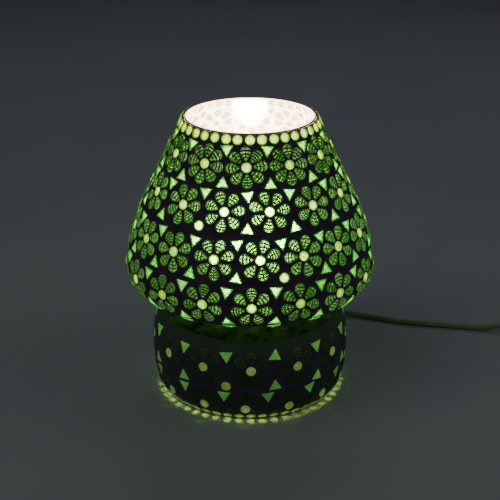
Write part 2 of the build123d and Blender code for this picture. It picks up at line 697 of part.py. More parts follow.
cord_tube(PLUG_CORD, "plug_cord")

COIL_ROUND = 2.4
with BuildPart() as cord_coil:
    with BuildSketch(Plane.XY.offset(COIL_Z[0])):
        with Locations(COIL_C):
            Circle(COIL_R[1])
            Circle(COIL_R[0], mode=Mode.SUBTRACT)
    extrude(amount=COIL_Z[1] - COIL_Z[0])
    fillet(cord_coil.edges().filter_by(GeomType.CIRCLE), COIL_ROUND)
write(cord_coil.part, "cord_coil")

TIE_AZIMUTH = 205.0
TIE_W = 4.0
with BuildPart() as cord_tie:
    middle = (COIL_R[0] + COIL_R[1]) / 2
    tie = Plane(origin=Vector(*COIL_C, 0) + outward(TIE_AZIMUTH) * middle + Vector(0, 0, sum(COIL_Z) / 2),
                x_dir=outward(TIE_AZIMUTH), z_dir=outward(TIE_AZIMUTH + 90))
    with BuildSketch(tie):
        RectangleRounded(COIL_R[1] - COIL_R[0] + 1.8, sum(COIL_Z) - 0.1, COIL_ROUND + 0.8)
        RectangleRounded(COIL_R[1] - COIL_R[0] + 0.3, COIL_Z[1] - COIL_Z[0] + 0.1, COIL_ROUND,
                         mode=Mode.SUBTRACT)
    extrude(amount=TIE_W / 2, both=True)
write(cord_tie.part, "cord_tie")

# ------------------------------------------------------------------ the switch in the cord
SWITCH_L = SWITCH_X[1] - SWITCH_X[0]
SWITCH_MID = sum(SWITCH_X) / 2
SWITCH_WALL = 2.0
SWITCH_CORNER = 9.0
CAVITY = (SWITCH_L - 2 * SWITCH_WALL, SWITCH_W - 2 * SWITCH_WALL)
ROCKER_R = 9.4
ROCKER_W = 11.0
ROCKER_SIDE = 9.5                   # the rocker's outline before its ends are rounded
ROCKER_LOW = -2.5
ROCKER_HIGH = 7.0
ROCKER_DISH = 34.0                  # hollow of the face a finger pushes
PIN_R = 1.0
PIN_L = ROCKER_W / 2 + 1.6          # half the pin's length
LUG_AT = ROCKER_W / 2 + 1.0         # the cover's lugs that hold the pin
MOUTH_R = 3.6                       # the cord mouths
SWITCH_SCREW_X = 19.0               # the base's screws, from the middle
SWITCH_SCREW_R = 1.6
TERMINAL_AT = (12.0, 6.0)
SLEEVE_L = 10.0
LEAD_IN = 8.0                       # cord inside the switch, and out to where its run begins
LEAD_OUT = 9.0


def switch_shell(low, high, floor, roof):
    """One half of the switch: a rounded tray with its cord mouths at both ends."""
    with BuildPart() as half:
        with BuildSketch(Plane.XY.offset(low)):
            with Locations((SWITCH_MID, SWITCH_Y)):
                RectangleRounded(SWITCH_L, SWITCH_W, SWITCH_CORNER)
        extrude(amount=high - low)
        outer = half.faces().sort_by(Axis.Z)[-1 if roof else 0].edges()
        fillet(outer, 3.0 if roof else 1.2)
        with BuildSketch(Plane.XY.offset(floor)):
            with Locations((SWITCH_MID, SWITCH_Y)):
                RectangleRounded(*CAVITY, SWITCH_CORNER - SWITCH_WALL)
        extrude(amount=(high - SWITCH_WALL if roof else high) - floor, mode=Mode.SUBTRACT)
        with BuildSketch(Plane.YZ.offset(SWITCH_X[0] - 1)):
            with Locations((SWITCH_Y, SWITCH_SPLIT)):
                Circle(MOUTH_R)
        extrude(amount=SWITCH_L + 2, mode=Mode.SUBTRACT)
    return half.part


with BuildPart() as switch_base:
    add(switch_shell(0.0, SWITCH_SPLIT, SWITCH_WALL, False))
    with BuildSketch(Plane.XY):
        with Locations((SWITCH_MID - SWITCH_SCREW_X, SWITCH_Y), (SWITCH_MID + SWITCH_SCREW_X, SWITCH_Y)):
            Circle(SWITCH_SCREW_R)
    extrude(amount=SWITCH_WALL, mode=Mode.SUBTRACT)
write(switch_base.part, "switch_base")

with BuildPart() as switch_cover:
    add(switch_shell(SWITCH_SPLIT, SWITCH_H, SWITCH_SPLIT, True))
    with BuildSketch(Plane.XY.offset(SWITCH_H - SWITCH_WALL - 1)):
        with Locations((SWITCH_MID, SWITCH_Y)):
            Rectangle(2 * ROCKER_R - 1.2, ROCKER_W + 0.8)
    extrude(amount=SWITCH_WALL + 2, mode=Mode.SUBTRACT)
    for side in (-1, 1):
        with BuildSketch(Plane.XZ.offset(-SWITCH_Y - side * LUG_AT)):
            with Locations((SWITCH_MID, PIVOT_Z + 2.0)):
                Rectangle(6.0, 8.0)
        extrude(amount=0.6, both=True)
    with BuildSketch(Plane.XZ.offset(-SWITCH_Y)):
        with Locations((SWITCH_MID, PIVOT_Z)):
            Circle(PIN_R + 0.05)
    extrude(amount=PIN_L + 2.4, both=True, mode=Mode.SUBTRACT)
write(switch_cover.part, "switch_cover")

with BuildPart() as switch_rocker:
    lean = math.radians(ROCKER_TILT)
    side = Plane(origin=(SWITCH_MID, SWITCH_Y, PIVOT_Z), x_dir=(math.cos(lean), 0, -math.sin(lean)),
                 z_dir=(0, -1, 0))
    with BuildSketch(side):
        with BuildLine():
            Polyline((-ROCKER_SIDE, ROCKER_LOW), (ROCKER_SIDE, ROCKER_LOW), (ROCKER_SIDE, ROCKER_HIGH))
            RadiusArc((ROCKER_SIDE, ROCKER_HIGH), (-ROCKER_SIDE, ROCKER_HIGH), ROCKER_DISH)
            Line((-ROCKER_SIDE, ROCKER_HIGH), (-ROCKER_SIDE, ROCKER_LOW))
        make_face()
        Circle(ROCKER_R, mode=Mode.INTERSECT)
        Circle(PIN_R + 0.1, mode=Mode.SUBTRACT)
    extrude(amount=ROCKER_W / 2, both=True)
write(switch_rocker.part, "switch_rocker")

with BuildPart() as rocker_pin:
    with BuildSketch(Plane.XZ.offset(-SWITCH_Y)):
        with Locations((SWITCH_MID, PIVOT_Z)):
            Circle(PIN_R)
    extrude(amount=PIN_L, both=True)
write(rocker_pin.part, "rocker_pin")

with BuildPart() as switch_screws:
    with BuildSketch(Plane.XY.offset(0.4)):
        with Locations((SWITCH_MID - SWITCH_SCREW_X, SWITCH_Y), (SWITCH_MID + SWITCH_SCREW_X, SWITCH_Y)):
            Circle(SWITCH_SCREW_R - 0.05)
    extrude(amount=7.0)
write(switch_screws.part, "switch_screws")

with BuildPart() as switch_terminals:
    with BuildSketch(Plane.XY.offset(SWITCH_WALL)):
        with Locations((SWITCH_MID, SWITCH_Y)):
            with GridLocations(2 * TERMINAL_AT[0], 2 * TERMINAL_AT[1], 2, 2):
                Rectangle(7.0, 4.0)
    extrude(amount=5.0)
write(switch_terminals.part, "switch_terminals")

with BuildPart() as switch_sleeves:
    for end, way in ((SWITCH_X[0], -1), (SWITCH_X[1], 1)):
        with BuildSketch(Plane(origin=(end - way * 1.0, SWITCH_Y, SWITCH_SPLIT), z_dir=(way, 0, 0))):
            Circle(MOUTH_R - CORD_FIT)
            Circle(CORD_R + CORD_FIT, mode=Mode.SUBTRACT)
        extrude(amount=SLEEVE_L)
write(switch_sleeves.part, "switch_sleeves")

with BuildPart() as switch_lead:
    for end, way in ((SWITCH_X[0], -1), (SWITCH_X[1], 1)):
        with BuildSketch(Plane(origin=(end - way * LEAD_IN, SWITCH_Y, SWITCH_SPLIT), z_dir=(way, 0, 0))):
            Circle(CORD_R)
        extrude(amount=LEAD_IN + LEAD_OUT)
write(switch_lead.part, "switch_lead")

# ------------------------------------------------------------------ the plug
PLUG_H = 13.7
PLUG_GRIP = 16.0                    # from the face to where the body starts to narrow
PIN_AT = 9.3                        # half the distance between the pins
PIN_RADIUS = 2.0
PIN_LENGTH = 19.0
with BuildPart() as plug_body:
    for x, width, height, corner in ((PLUG_X[0], 35.0, PLUG_H, 5.0),
                                     (PLUG_X[0] + PLUG_GRIP, 33.0, PLUG_H, 5.0),
                                     (PLUG_X[1], 15.0, 11.0, 4.5)):
        with BuildSketch(Plane(origin=(x, PLUG_Y, PLUG_Z), x_dir=(0, 1, 0), z_dir=(1, 0, 0))):
            RectangleRounded(width, height, corner)
    loft(ruled=True)
    with BuildSketch(Plane(origin=(PLUG_X[1], PLUG_Y, PLUG_Z), z_dir=(1, 0, 0))):
        Circle(5.0)
    extrude(amount=PLUG_CORD[-1][0] - PLUG_X[1], taper=5.5)
write(plug_body.part, "plug_body")

with BuildPart() as plug_pins:
    for side in (-1, 1):
        with BuildSketch(Plane(origin=(PLUG_X[0], PLUG_Y + side * PIN_AT, PLUG_Z), z_dir=(-1, 0, 0))):
            Circle(PIN_RADIUS)
        extrude(amount=PIN_LENGTH)
    fillet(plug_pins.edges().group_by(Axis.X)[0], 1.2)
write(plug_pins.part, "plug_pins")
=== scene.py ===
import bpy
import math
import random
import numpy as np
from mathutils import Matrix, Vector


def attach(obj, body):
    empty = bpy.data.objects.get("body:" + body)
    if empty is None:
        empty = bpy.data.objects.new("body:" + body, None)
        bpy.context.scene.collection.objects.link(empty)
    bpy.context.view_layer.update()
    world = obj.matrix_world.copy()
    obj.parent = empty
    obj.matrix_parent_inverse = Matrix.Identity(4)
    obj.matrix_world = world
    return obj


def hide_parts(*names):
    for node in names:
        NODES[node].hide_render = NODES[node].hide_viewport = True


# Mosaic glass table lamp, lit.  Metres in Blender; the lamp's own shape is worked out in
# millimetres and multiplied by MM.  Azimuth 0 is the front (-Y), +90 is +X.
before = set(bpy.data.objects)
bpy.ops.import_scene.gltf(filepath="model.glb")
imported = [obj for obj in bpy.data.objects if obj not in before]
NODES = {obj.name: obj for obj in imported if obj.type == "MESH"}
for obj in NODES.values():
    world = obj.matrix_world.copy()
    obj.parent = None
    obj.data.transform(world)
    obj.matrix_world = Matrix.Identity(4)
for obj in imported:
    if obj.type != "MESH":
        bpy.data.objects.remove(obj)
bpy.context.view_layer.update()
MM = 0.001

# ------------------------------------------------------------------ the lamp's driving sizes, mm
HEIGHT = 230.0
CONE = 25.4                    # how far the shade's straight wall faces upwards, degrees
UPPER_R = 171.4                # the arc under the straight wall, and where the next one takes over
JOIN = 9.0
LOWER_C = (75.4, 111.0)        # the arc that turns the shade under (radius out, height up)
LOWER_R = 25.3
SHADE_EDGE = -62.0             # the mosaic's lower edge on it
BARREL_R = 141.5               # the drum's long bulge
BARREL_C = (80.4 - BARREL_R, 36.8)
TOP_R = 16.1                   # the drum's shoulder and the mosaic's edge on it
TOP_Z = 55.15
DRUM_EDGE = 60.0
FOOT_R = 12.65                 # the drum's foot and the mosaic's edge on it
FOOT_EDGE = -66.0
TILE = 1.8                     # a tile's thickness
WAIST_Z = (65.0, 91.5)         # the bare, dark glass between drum and shade
BULB = Vector((0, 0, 130.0))
PAINTED_MOUTH_GLOW = (0.150, 0.176)    # painted glow: the heights, in metres, over which the painted glow on the shade's inside grows dazzling
RIM_PAINTED_GLOW = (0.0499, 0.0506)     # over these radii, in metres, the rim's painted glow fades from bright to a faint brown
RIM_TOP = (0.2288, 0.2292)     # heights, in metres: the rim's ground top edge
BED_TOP = (0.2265, 0.2285)     # heights, in metres: the grout's painted glow turns brown and brighter towards the rim
BARE_FOOT = (0.0033, 0.0040)   # heights, in metres: the glass under the lowest tiles is bare
DISC_R = 3.8                   # tiles' sizes: a disc's radius
PETAL = (1.2, 4.0, 5.4)        # inner end's radius, outer end's radius, distance between their centres
TRIANGLE_R = 6.1               # a triangle's middle to its corners
TURN = 2 * math.pi


# ------------------------------------------------------------------ camera, lights and floor
LENS = 83.5                    # on a sensor 36 mm wide
CAMERA = (0, -0.874, 0.478)
CAMERA_PITCH = 22.5            # degrees below level


def aim(obj, target):
    obj.rotation_euler = (Vector(target) - obj.location).to_track_quat("-Z", "Y").to_euler()


def add_camera():
    data = bpy.data.cameras.new("camera")
    data.lens = LENS
    data.sensor_width = 36.0
    data.clip_start = 0.05
    camera = bpy.data.objects.new("camera", data)
    camera.location = CAMERA
    camera.rotation_euler = (math.radians(90 - CAMERA_PITCH), 0, 0)
    bpy.context.scene.collection.objects.link(camera)
    bpy.context.scene.camera = camera


def area_light(name, place, target, size, power, colour):
    data = bpy.data.lights.new(name, "AREA")
    data.shape = "RECTANGLE"
    data.size, data.size_y = size
    data.energy = power
    data.color = colour
    light = bpy.data.objects.new(name, data)
    light.location = place
    bpy.context.scene.collection.objects.link(light)
    aim(light, target)


def inner_light(name, data, height, power, colour):
    """A light on the axis, inside the glass, that isn't seen itself."""
    data.energy = power
    data.color = colour
    light = bpy.data.objects.new(name, data)
    light.location = (0, 0, height)
    light.visible_camera = False
    light.visible_transmission = False
    bpy.context.scene.collection.objects.link(light)


def bulb_light(name, height, radius, power, colour):
    """The bulb: a soft round lamp."""
    data = bpy.data.lights.new(name, "POINT")
    data.shadow_soft_size = radius
    inner_light(name, data, height, power, colour)


def waist_light(name, height, radius, power, colour):
    """A disc that shines down into the drum from the waist."""
    data = bpy.data.lights.new(name, "AREA")
    data.shape = "DISK"
    data.size = 2 * radius
    inner_light(name, data, height, power, colour)


def studio():
    world = bpy.data.worlds.new("studio")
    world.use_nodes = True
    back = world.node_tree.nodes["Background"]
    back.inputs["Color"].default_value = (0.50, 0.56, 0.72, 1)
    back.inputs["Strength"].default_value = 0.032
    bpy.context.scene.world = world
    area_light("key", (-0.9, -0.7, 1.5), (0, 0, 0.1), (1.2, 1.2), 2.2, (0.92, 0.95, 1.0))
    area_light("fill", (1.3, -0.3, 1.0), (0, 0, 0.1), (1.0, 1.4), 1.1, (0.90, 0.94, 1.0))
    area_light("back", (0.2, 1.4, 1.3), (0, 0, 0.15), (1.6, 0.8), 1.2, (0.85, 0.9, 1.0))
    bulb_light("bulb_glow", BULB.z * MM, 0.012, 2.0, (1.0, 0.93, 0.80))
    waist_light("waist_glow", 0.0645, 0.009, 0.55, (1.0, 0.95, 0.82))


# ------------------------------------------------------------------ node helpers
class Shade:
    """A material under construction: one Principled shader and short ways to feed it."""

    def __init__(self, name):
        self.material = bpy.data.materials.new(name)
        self.material.use_nodes = True
        self.tree = self.material.node_tree
        self.tree.nodes.clear()
        self.out = self.node("ShaderNodeOutputMaterial")
        self.bsdf = self.node("ShaderNodeBsdfPrincipled")
        self.tree.links.new(self.bsdf.outputs[0], self.out.inputs["Surface"])

    def node(self, kind, **settings):
        made = self.tree.nodes.new(kind)
        for key, value in settings.items():
            setattr(made, key, value)
        return made

    def set(self, **values):
        """Plain values on the Principled shader; underscores stand for blanks."""
        for key, value in values.items():
            socket = self.bsdf.inputs[key.replace("_", " ")]
            colour = isinstance(value, tuple) and len(value) == 3
            socket.default_value = (*value, 1) if colour else value
        return self

    def link(self, source, target):
        self.tree.links.new(source, target)
        return source

    def feed(self, key, source):
        self.link(source, self.bsdf.inputs[key.replace("_", " ")])

    def coords(self):
        return self.node("ShaderNodeTexCoord").outputs["Object"]

    def attribute(self, name):
        return self.node("ShaderNodeAttribute", attribute_name=name).outputs["Fac"]

    def noise(self, scale, detail=3.0, roughness=0.5, stretch=None):
        made = self.node("ShaderNodeTexNoise")
        made.inputs["Scale"].default_value = scale
        made.inputs["Detail"].default_value = detail
        made.inputs["Roughness"].default_value = roughness
        where = self.coords()
        if stretch:
            mapping = self.node("ShaderNodeMapping")
            mapping.inputs["Scale"].default_value = stretch
            self.link(where, mapping.inputs["Vector"])
            where = mapping.outputs[0]
        self.link(where, made.inputs["Vector"])
        return made.outputs["Fac"]

    def ramp(self, source, low, high, out_low=0.0, out_high=1.0):
        made = self.node("ShaderNodeMapRange", clamp=True)
        self.link(source, made.inputs["Value"])
        ends = {"From Min": low, "From Max": high, "To Min": out_low, "To Max": out_high}
        for key, value in ends.items():
            made.inputs[key].default_value = value
        return made.outputs[0]

    def math(self, operation, a, b):
        made = self.node("ShaderNodeMath", operation=operation)
        for value, socket in ((a, made.inputs[0]), (b, made.inputs[1])):
            if isinstance(value, (int, float)):
                socket.default_value = value
            else:
                self.link(value, socket)
        return made.outputs[0]

    def mix(self, share, first, second):
        """Blend of two colours; share is a number or a socket."""
        made = self.node("ShaderNodeMix", data_type="RGBA")
        sockets = {s.identifier: s for s in made.inputs}
        for value, socket in ((share, sockets["Factor_Float"]), (first, sockets["A_Color"]),
                              (second, sockets["B_Color"])):
            if isinstance(value, tuple):
                socket.default_value = (*value, 1)
            elif isinstance(value, (int, float)):
                socket.default_value = value
            else:
                self.link(value, socket)
        return {s.identifier: s for s in made.outputs}["Result_Color"]

    def bump(self, source, distance, strength=1.0):
        made = self.node("ShaderNodeBump")
        made.inputs["Distance"].default_value = distance
        made.inputs["Strength"].default_value = strength
        self.link(source, made.inputs["Height"])
        self.feed("Normal", made.outputs[0])

    def height(self):
        """The surface point's height above the table."""
        split = self.node("ShaderNodeSeparateXYZ")
        self.link(self.coords(), split.inputs[0])
        return split.outputs["Z"]

    def axis_distance(self):
        """How far the surface point is from the lamp's axis."""
        split = self.node("ShaderNodeSeparateXYZ")
        self.link(self.coords(), split.inputs[0])
        x, y = (self.math("POWER", split.outputs[key], 2.0) for key in "XY")
        return self.math("SQRT", self.math("ADD", x, y), 0.0)

    def bulb_distance(self):
        """How far the surface point is from the middle of the bulb."""
        made = self.node("ShaderNodeVectorMath", operation="DISTANCE")
        self.link(self.coords(), made.inputs[0])
        made.inputs[1].default_value = BULB * MM
        return made.outputs["Value"]

    def lamps_pass(self, colour):
        """Lets the bulb's light through to what it falls on, tinted."""
        clear = self.node("ShaderNodeBsdfTransparent")
        clear.inputs["Color"].default_value = (*colour, 1)
        mixer = self.node("ShaderNodeMixShader")
        self.link(self.node("ShaderNodeLightPath").outputs["Is Shadow Ray"], mixer.inputs[0])
        self.link(self.bsdf.outputs[0], mixer.inputs[1])
        self.link(clear.outputs[0], mixer.inputs[2])
        self.link(mixer.outputs[0], self.out.inputs["Surface"])
        return self


# ------------------------------------------------------------------ glass and grout
def tile_glass(name, deep, pale, warm, body, glow, inside, roughness, far=0.62):
    """Cut glass with the bulb's light through it painted on as emission.  deep and pale are the ends of
    its own colour, warm a stray tint, body its see-through colour, glow the strength of its painted glow
    in the shade, inside its painted glow in the drum and far the share of that painted glow left far from
    the bulb.
    It scatters what comes through, under a glossy face; the painted glow fades away from the bulb and
    turns greyer in the drum, as painted shade."""
    s = Shade(name)
    tint = s.attribute("tint")
    colour = s.mix(tint, deep, pale)
    colour = s.mix(s.ramp(s.attribute("stray"), 0.8, 1.0, 0.0, 0.8), colour, warm)
    # painted shade: the painted glow's colour turns greyer low in the drum
    colour = s.mix(s.ramp(s.height(), 0.060, 0.090, 0.30, 0.0), colour, (0.62, 0.86, 0.45))
    streak = s.ramp(s.noise(420.0, 2.0, 0.6, (1.0, 1.0, 0.35)), 0.35, 0.65, 0.86, 1.1)
    cloud = s.ramp(s.noise(150.0, 2.0), 0.3, 0.7, 0.85, 1.12)
    # painted light: the glow is strongest near the bulb, weaker in the drum, with streaks, clouds and a
    # strength of its own per tile
    reach = s.ramp(s.bulb_distance(), 0.055, 0.125, 1.25, far)
    zone = s.ramp(s.height(), 0.060, 0.090, inside / glow, 1.0)
    light = s.math("MULTIPLY", s.math("MULTIPLY", reach, zone), s.math("MULTIPLY", streak, cloud))
    painted_glow_strength = s.math("MULTIPLY", light, s.ramp(s.attribute("power"), 0.0, 1.0, 0.75, 1.25))
    s.feed("Emission_Color", colour)
    s.feed("Emission_Strength", s.math("MULTIPLY", painted_glow_strength, glow))
    s.feed("Base_Color", s.mix(tint, tuple(c * 0.8 for c in body), body))
    s.set(IOR=1.46, Transmission_Weight=0.9, Coat_Weight=0.9, Coat_Roughness=0.06)
    s.feed("Roughness", s.ramp(s.noise(260.0, 2.0), 0.3, 0.7, roughness * 0.9, roughness * 1.1))
    s.bump(s.noise(190.0, 2.0, 0.5), 0.00008, 0.5)
    return s.lamps_pass(tuple(math.sqrt(c) * 0.8 for c in body)).material


def tile_back():
    """The glued back of a tile: milky, with a painted glow that grows with height towards the mouth, and
    clear from within the glass.
    """
    s = Shade("tile_back")
    s.feed("Base_Color", s.mix(s.attribute("tint"), (0.46, 0.42, 0.34), (0.62, 0.60, 0.50)))
    # painted glow: faint low down, bright towards the mouth
    s.set(Roughness=0.35, Emission_Color=(1.0, 0.66, 0.40))
    s.feed("Emission_Strength", s.math("MULTIPLY", s.ramp(s.height(), *PAINTED_MOUTH_GLOW, 0.10, 5.5),
                                       s.ramp(s.noise(160.0, 2.0), 0.3, 0.7, 0.7, 1.25)))
    s.bump(s.noise(500.0, 3.0), 0.0001, 0.5)
    clear = s.node("ShaderNodeBsdfTransparent")
    passes = s.math("MAXIMUM", s.node("ShaderNodeLightPath").outputs["Is Shadow Ray"],
                    s.node("ShaderNodeNewGeometry").outputs["Backfacing"])
    mixer = s.node("ShaderNodeMixShader")
    s.link(passes, mixer.inputs[0])
    s.link(s.bsdf.outputs[0], mixer.inputs[1])
    s.link(clear.outputs[0], mixer.inputs[2])
    s.link(mixer.outputs[0], s.out.inputs["Surface"])
    return s.material


def grout_black():
    """Dark grout with a grey film, and a faint painted glow: purplish, green at the drum's shoulder, brown
    and brighter at the rim.
    """
    s = Shade("black_grout")
    grain = s.noise(1500.0, 4.0, 0.65)
    film = s.ramp(s.noise(60.0, 3.0), 0.45, 0.75)
    s.feed("Base_Color", s.mix(film, (0.040, 0.032, 0.046), (0.085, 0.074, 0.092)))
    height = s.height()
    # painted glow: purplish, green at the drum's shoulder, brown and brighter at the rim
    painted_glow_colour = s.mix(s.ramp(height, 0.054, 0.068), (0.85, 0.70, 1.0), (0.30, 1.0, 0.16))
    painted_glow_colour = s.mix(s.ramp(height, 0.075, 0.085), painted_glow_colour, (0.85, 0.55, 1.0))
    s.feed("Emission_Color", s.mix(s.ramp(height, *BED_TOP), painted_glow_colour, (0.60, 0.20, 0.10)))
    shoulder = s.math("MULTIPLY", s.ramp(height, 0.054, 0.068),
                      s.ramp(height, 0.075, 0.085, 0.010, 0.0))
    low = s.math("MAXIMUM", s.math("ADD", shoulder, 0.005), s.ramp(height, *BED_TOP, 0.0, 0.08))
    s.feed("Emission_Strength", low)
    s.feed("Roughness", s.ramp(grain, 0.3, 0.7, 0.55, 0.85))
    s.bump(grain, 0.00018, 0.8)
    return s.material


def adhesive_back():
    """The bed seen from inside, through the glass: cream glue, with a painted glow that is faint in the
    drum and grows dazzling towards the mouth.
    """
    s = Shade("cream_bed")
    cloud = s.ramp(s.noise(90.0, 3.0), 0.3, 0.7)
    s.feed("Base_Color", s.mix(cloud, (0.80, 0.74, 0.62), (0.90, 0.86, 0.78)))
    # painted glow: faint in the drum, dazzling towards the mouth, off just under the rim
    s.set(Roughness=0.7, Emission_Color=(1.0, 0.74, 0.48))
    painted_bed_glow = s.math("MULTIPLY", s.ramp(s.height(), 0.07, 0.10, 0.08, 1.0),
                 s.ramp(s.height(), *PAINTED_MOUTH_GLOW, 0.35, 30.0))
    under_rim = s.ramp(s.height(), 0.2270, 0.2280, 1.0, 0.0)
    s.feed("Emission_Strength", s.math("MULTIPLY", painted_bed_glow, under_rim))
    s.bump(s.noise(700.0, 3.0), 0.0001, 0.5)
    return s.material


def outliner_black():
    """The paste of the painted ribs, with a faint painted green glow that grows towards the bulb."""
    s = Shade("black_outliner")
    # painted glow: a little green, stronger near the bulb
    s.set(Base_Color=(0.010, 0.012, 0.010), IOR=1.5, Emission_Color=(0.16, 1.0, 0.05))
    s.feed("Emission_Strength", s.ramp(s.bulb_distance(), 0.080, 0.108, 0.14, 0.008))
    s.feed("Roughness", s.ramp(s.noise(900.0, 2.0), 0.3, 0.7, 0.25, 0.45))
    s.bump(s.noise(1400.0, 2.0), 0.00008, 0.5)
    return s.material


def body_glass():
    """The blown body: clear under the mosaic, dark and glossy where it is bare, with a painted reflection
    of green light in its bare glass, and dark brown on the rim, with a painted glow there that is bright
    at the rim's inner edge."""
    s = Shade("blown_glass")
    height = s.height()
    wave = s.noise(28.0, 2.0)
    rim = s.ramp(height, *RIM_TOP)
    s.feed("Base_Color", s.mix(rim, (0.020, 0.034, 0.014), (0.07, 0.030, 0.018)))
    s.set(IOR=1.7, Coat_Weight=0.8, Coat_Roughness=0.04)
    # painted reflection of green light in the bare glass, fainter low on the drum's shoulder, and a
    # painted glow on the rim
    s.feed("Emission_Color", s.mix(rim, (0.35, 1.0, 0.16), (1.0, 0.62, 0.40)))
    painted_reflection = s.math("MULTIPLY", s.ramp(s.noise(75.0, 3.0, 0.6), 0.40, 0.72, 0.006, 0.055),
                  s.ramp(height, 0.0670, 0.0725, 0.35, 1.0))
    painted_rim_glow = s.ramp(s.axis_distance(), RIM_PAINTED_GLOW[0], RIM_PAINTED_GLOW[1], 9.0, 0.05)
    s.feed("Emission_Strength", s.math("MAXIMUM", painted_reflection, s.math("MULTIPLY", rim, painted_rim_glow)))
    s.feed("Roughness", s.ramp(wave, 0.3, 0.7, 0.10, 0.20))
    s.bump(wave, 0.0004, 0.35)
    thin = s.node("ShaderNodeMixShader")
    clear = s.node("ShaderNodeBsdfTransparent")
    clear.inputs["Color"].default_value = (0.97, 0.98, 0.96, 1)
    gloss = s.node("ShaderNodeBsdfGlossy")
    gloss.inputs["Roughness"].default_value = 0.05
    fresnel = s.node("ShaderNodeFresnel")
    s.link(s.ramp(fresnel.outputs[0], 0.0, 1.0, 0.0, 0.8), thin.inputs[0])
    s.link(clear.outputs[0], thin.inputs[1])
    s.link(gloss.outputs[0], thin.inputs[2])
    under = s.math("MULTIPLY", s.ramp(height, *BARE_FOOT), s.ramp(height, *RIM_TOP, 1.0, 0.0))
    low = s.ramp(height, WAIST_Z[0] * MM - 0.0005, WAIST_Z[0] * MM, 1.0, 0.0)
    high = s.ramp(height, WAIST_Z[1] * MM, WAIST_Z[1] * MM + 0.0005)
    mosaic = s.math("MULTIPLY", under, s.math("ADD", low, high))
    whole = s.node("ShaderNodeMixShader")
    s.link(mosaic, whole.inputs[0])
    s.link(s.bsdf.outputs[0], whole.inputs[1])
    s.link(thin.outputs[0], whole.inputs[2])
    s.link(whole.outputs[0], s.out.inputs["Surface"])
    return s.material


# ------------------------------------------------------------------ the other materials
def moulded(name, colour, roughness, grain=1800.0, depth=0.00003, coat=0.0):
    s = Shade(name)
    cloud = s.ramp(s.noise(45.0, 3.0), 0.3, 0.7)
    dark, light = tuple(c * 0.8 for c in colour), tuple(min(1, c * 1.2) for c in colour)
    s.feed("Base_Color", s.mix(cloud, dark, light))
    s.feed("Roughness", s.ramp(s.noise(300.0, 3.0), 0.3, 0.7, roughness * 0.85, roughness * 1.2))
    s.set(Coat_Weight=coat)
    s.bump(s.noise(grain, 2.0), depth, 0.7)
    return s.material


def metal(name, colour, roughness, stretch=(1.0, 1.0, 14.0)):
    s = Shade(name)
    line = s.noise(350.0, 3.0, 0.6, stretch)
    cloud = s.ramp(s.noise(70.0, 3.0), 0.35, 0.7)
    s.feed("Base_Color", s.mix(cloud, colour, tuple(c * 0.72 for c in colour)))
    s.feed("Roughness", s.ramp(line, 0.3, 0.7, roughness * 0.7, roughness * 1.35))
    s.set(Metallic=1.0)
    s.bump(line, 0.00002, 0.5)
    return s.material


def felt():
    s = Shade("felt")
    fibre = s.noise(2600.0, 4.0, 0.7)
    s.feed("Base_Color", s.mix(s.ramp(fibre, 0.3, 0.7), (0.012, 0.012, 0.014), (0.05, 0.05, 0.055)))
    s.set(Roughness=0.95, Sheen_Weight=0.3)
    s.bump(fibre, 0.0003, 0.8)
    return s.material


def bulb_frost():
    s = Shade("frosted_bulb")
    core = s.ramp(s.bulb_distance(), 0.029, 0.045, 1.0, 0.35)
    s.set(Base_Color=(0.95, 0.92, 0.85), Roughness=0.4, Emission_Color=(1.0, 0.93, 0.80))
    s.feed("Emission_Strength", s.math("MULTIPLY", core, 45.0))
    s.bump(s.noise(1200.0, 2.0), 0.00002, 0.4)
    return s.lamps_pass((1.0, 1.0, 1.0)).material


def clear_stem():
    s = Shade("clear_stem")
    s.set(Base_Color=(0.95, 0.96, 0.95), Transmission_Weight=1.0)
    s.feed("Roughness", s.ramp(s.noise(200.0), 0.3, 0.7, 0.02, 0.08))
    return s.lamps_pass((0.95, 0.95, 0.95)).material


def cord_sheath():
    """Soft PVC, slightly see-through, olive."""
    s = Shade("cord_sheath")
    cloud = s.ramp(s.noise(35.0, 3.0), 0.3, 0.7)
    s.feed("Base_Color", s.mix(cloud, (0.40, 0.41, 0.22), (0.50, 0.50, 0.30)))
    s.set(Subsurface_Weight=0.15, Subsurface_Scale=0.002, IOR=1.5)
    s.feed("Roughness", s.ramp(s.noise(240.0, 3.0), 0.3, 0.7, 0.28, 0.42))
    s.bump(s.noise(900.0, 2.0), 0.00004, 0.5)
    return s.material


def table_top():
    s = Shade("table_top")
    cloud = s.ramp(s.noise(3.0, 3.0), 0.3, 0.7)
    s.feed("Base_Color", s.mix(cloud, (0.50, 0.51, 0.53), (0.55, 0.56, 0.57)))
    s.feed("Roughness", s.ramp(s.noise(40.0, 3.0), 0.3, 0.7, 0.50, 0.60))
    return s.material


# ------------------------------------------------------------------ the wall the tiles stand on
def polar(centre, radius, angle):
    a = math.radians(angle)
    return (centre[0] + radius * math.cos(a), centre[1] + radius * math.sin(a))


def tangent_centre(radius, height):
    """Centre of a circle that touches the drum's bulge from inside, at this height."""
    reach = BARREL_R - radius
    return (BARREL_C[0] + math.sqrt(reach ** 2 - (height - BARREL_C[1]) ** 2), height)


def bulge_angle(centre):
    return math.degrees(math.atan2(centre[1] - BARREL_C[1], centre[0] - BARREL_C[0]))


UPPER_C = polar(LOWER_C, LOWER_R - UPPER_R, JOIN)
TOP_C = tangent_centre(TOP_R, TOP_Z)
FOOT_C = tangent_centre(FOOT_R, FOOT_R)


def arc_line(pieces):
    """Sampler of a line of arcs: distance in mm to radius, height and normal angle."""
    def at(distance):
        for centre, radius, first, last in pieces:
            length = math.radians(first - last) * radius
            if distance <= length or (centre, radius, first, last) == pieces[-1]:
                angle = first - math.degrees(distance / radius)
                return (*polar(centre, radius, angle), angle)
            distance -= length
    return at, sum(math.radians(first - last) * radius for _, radius, first, last in pieces)


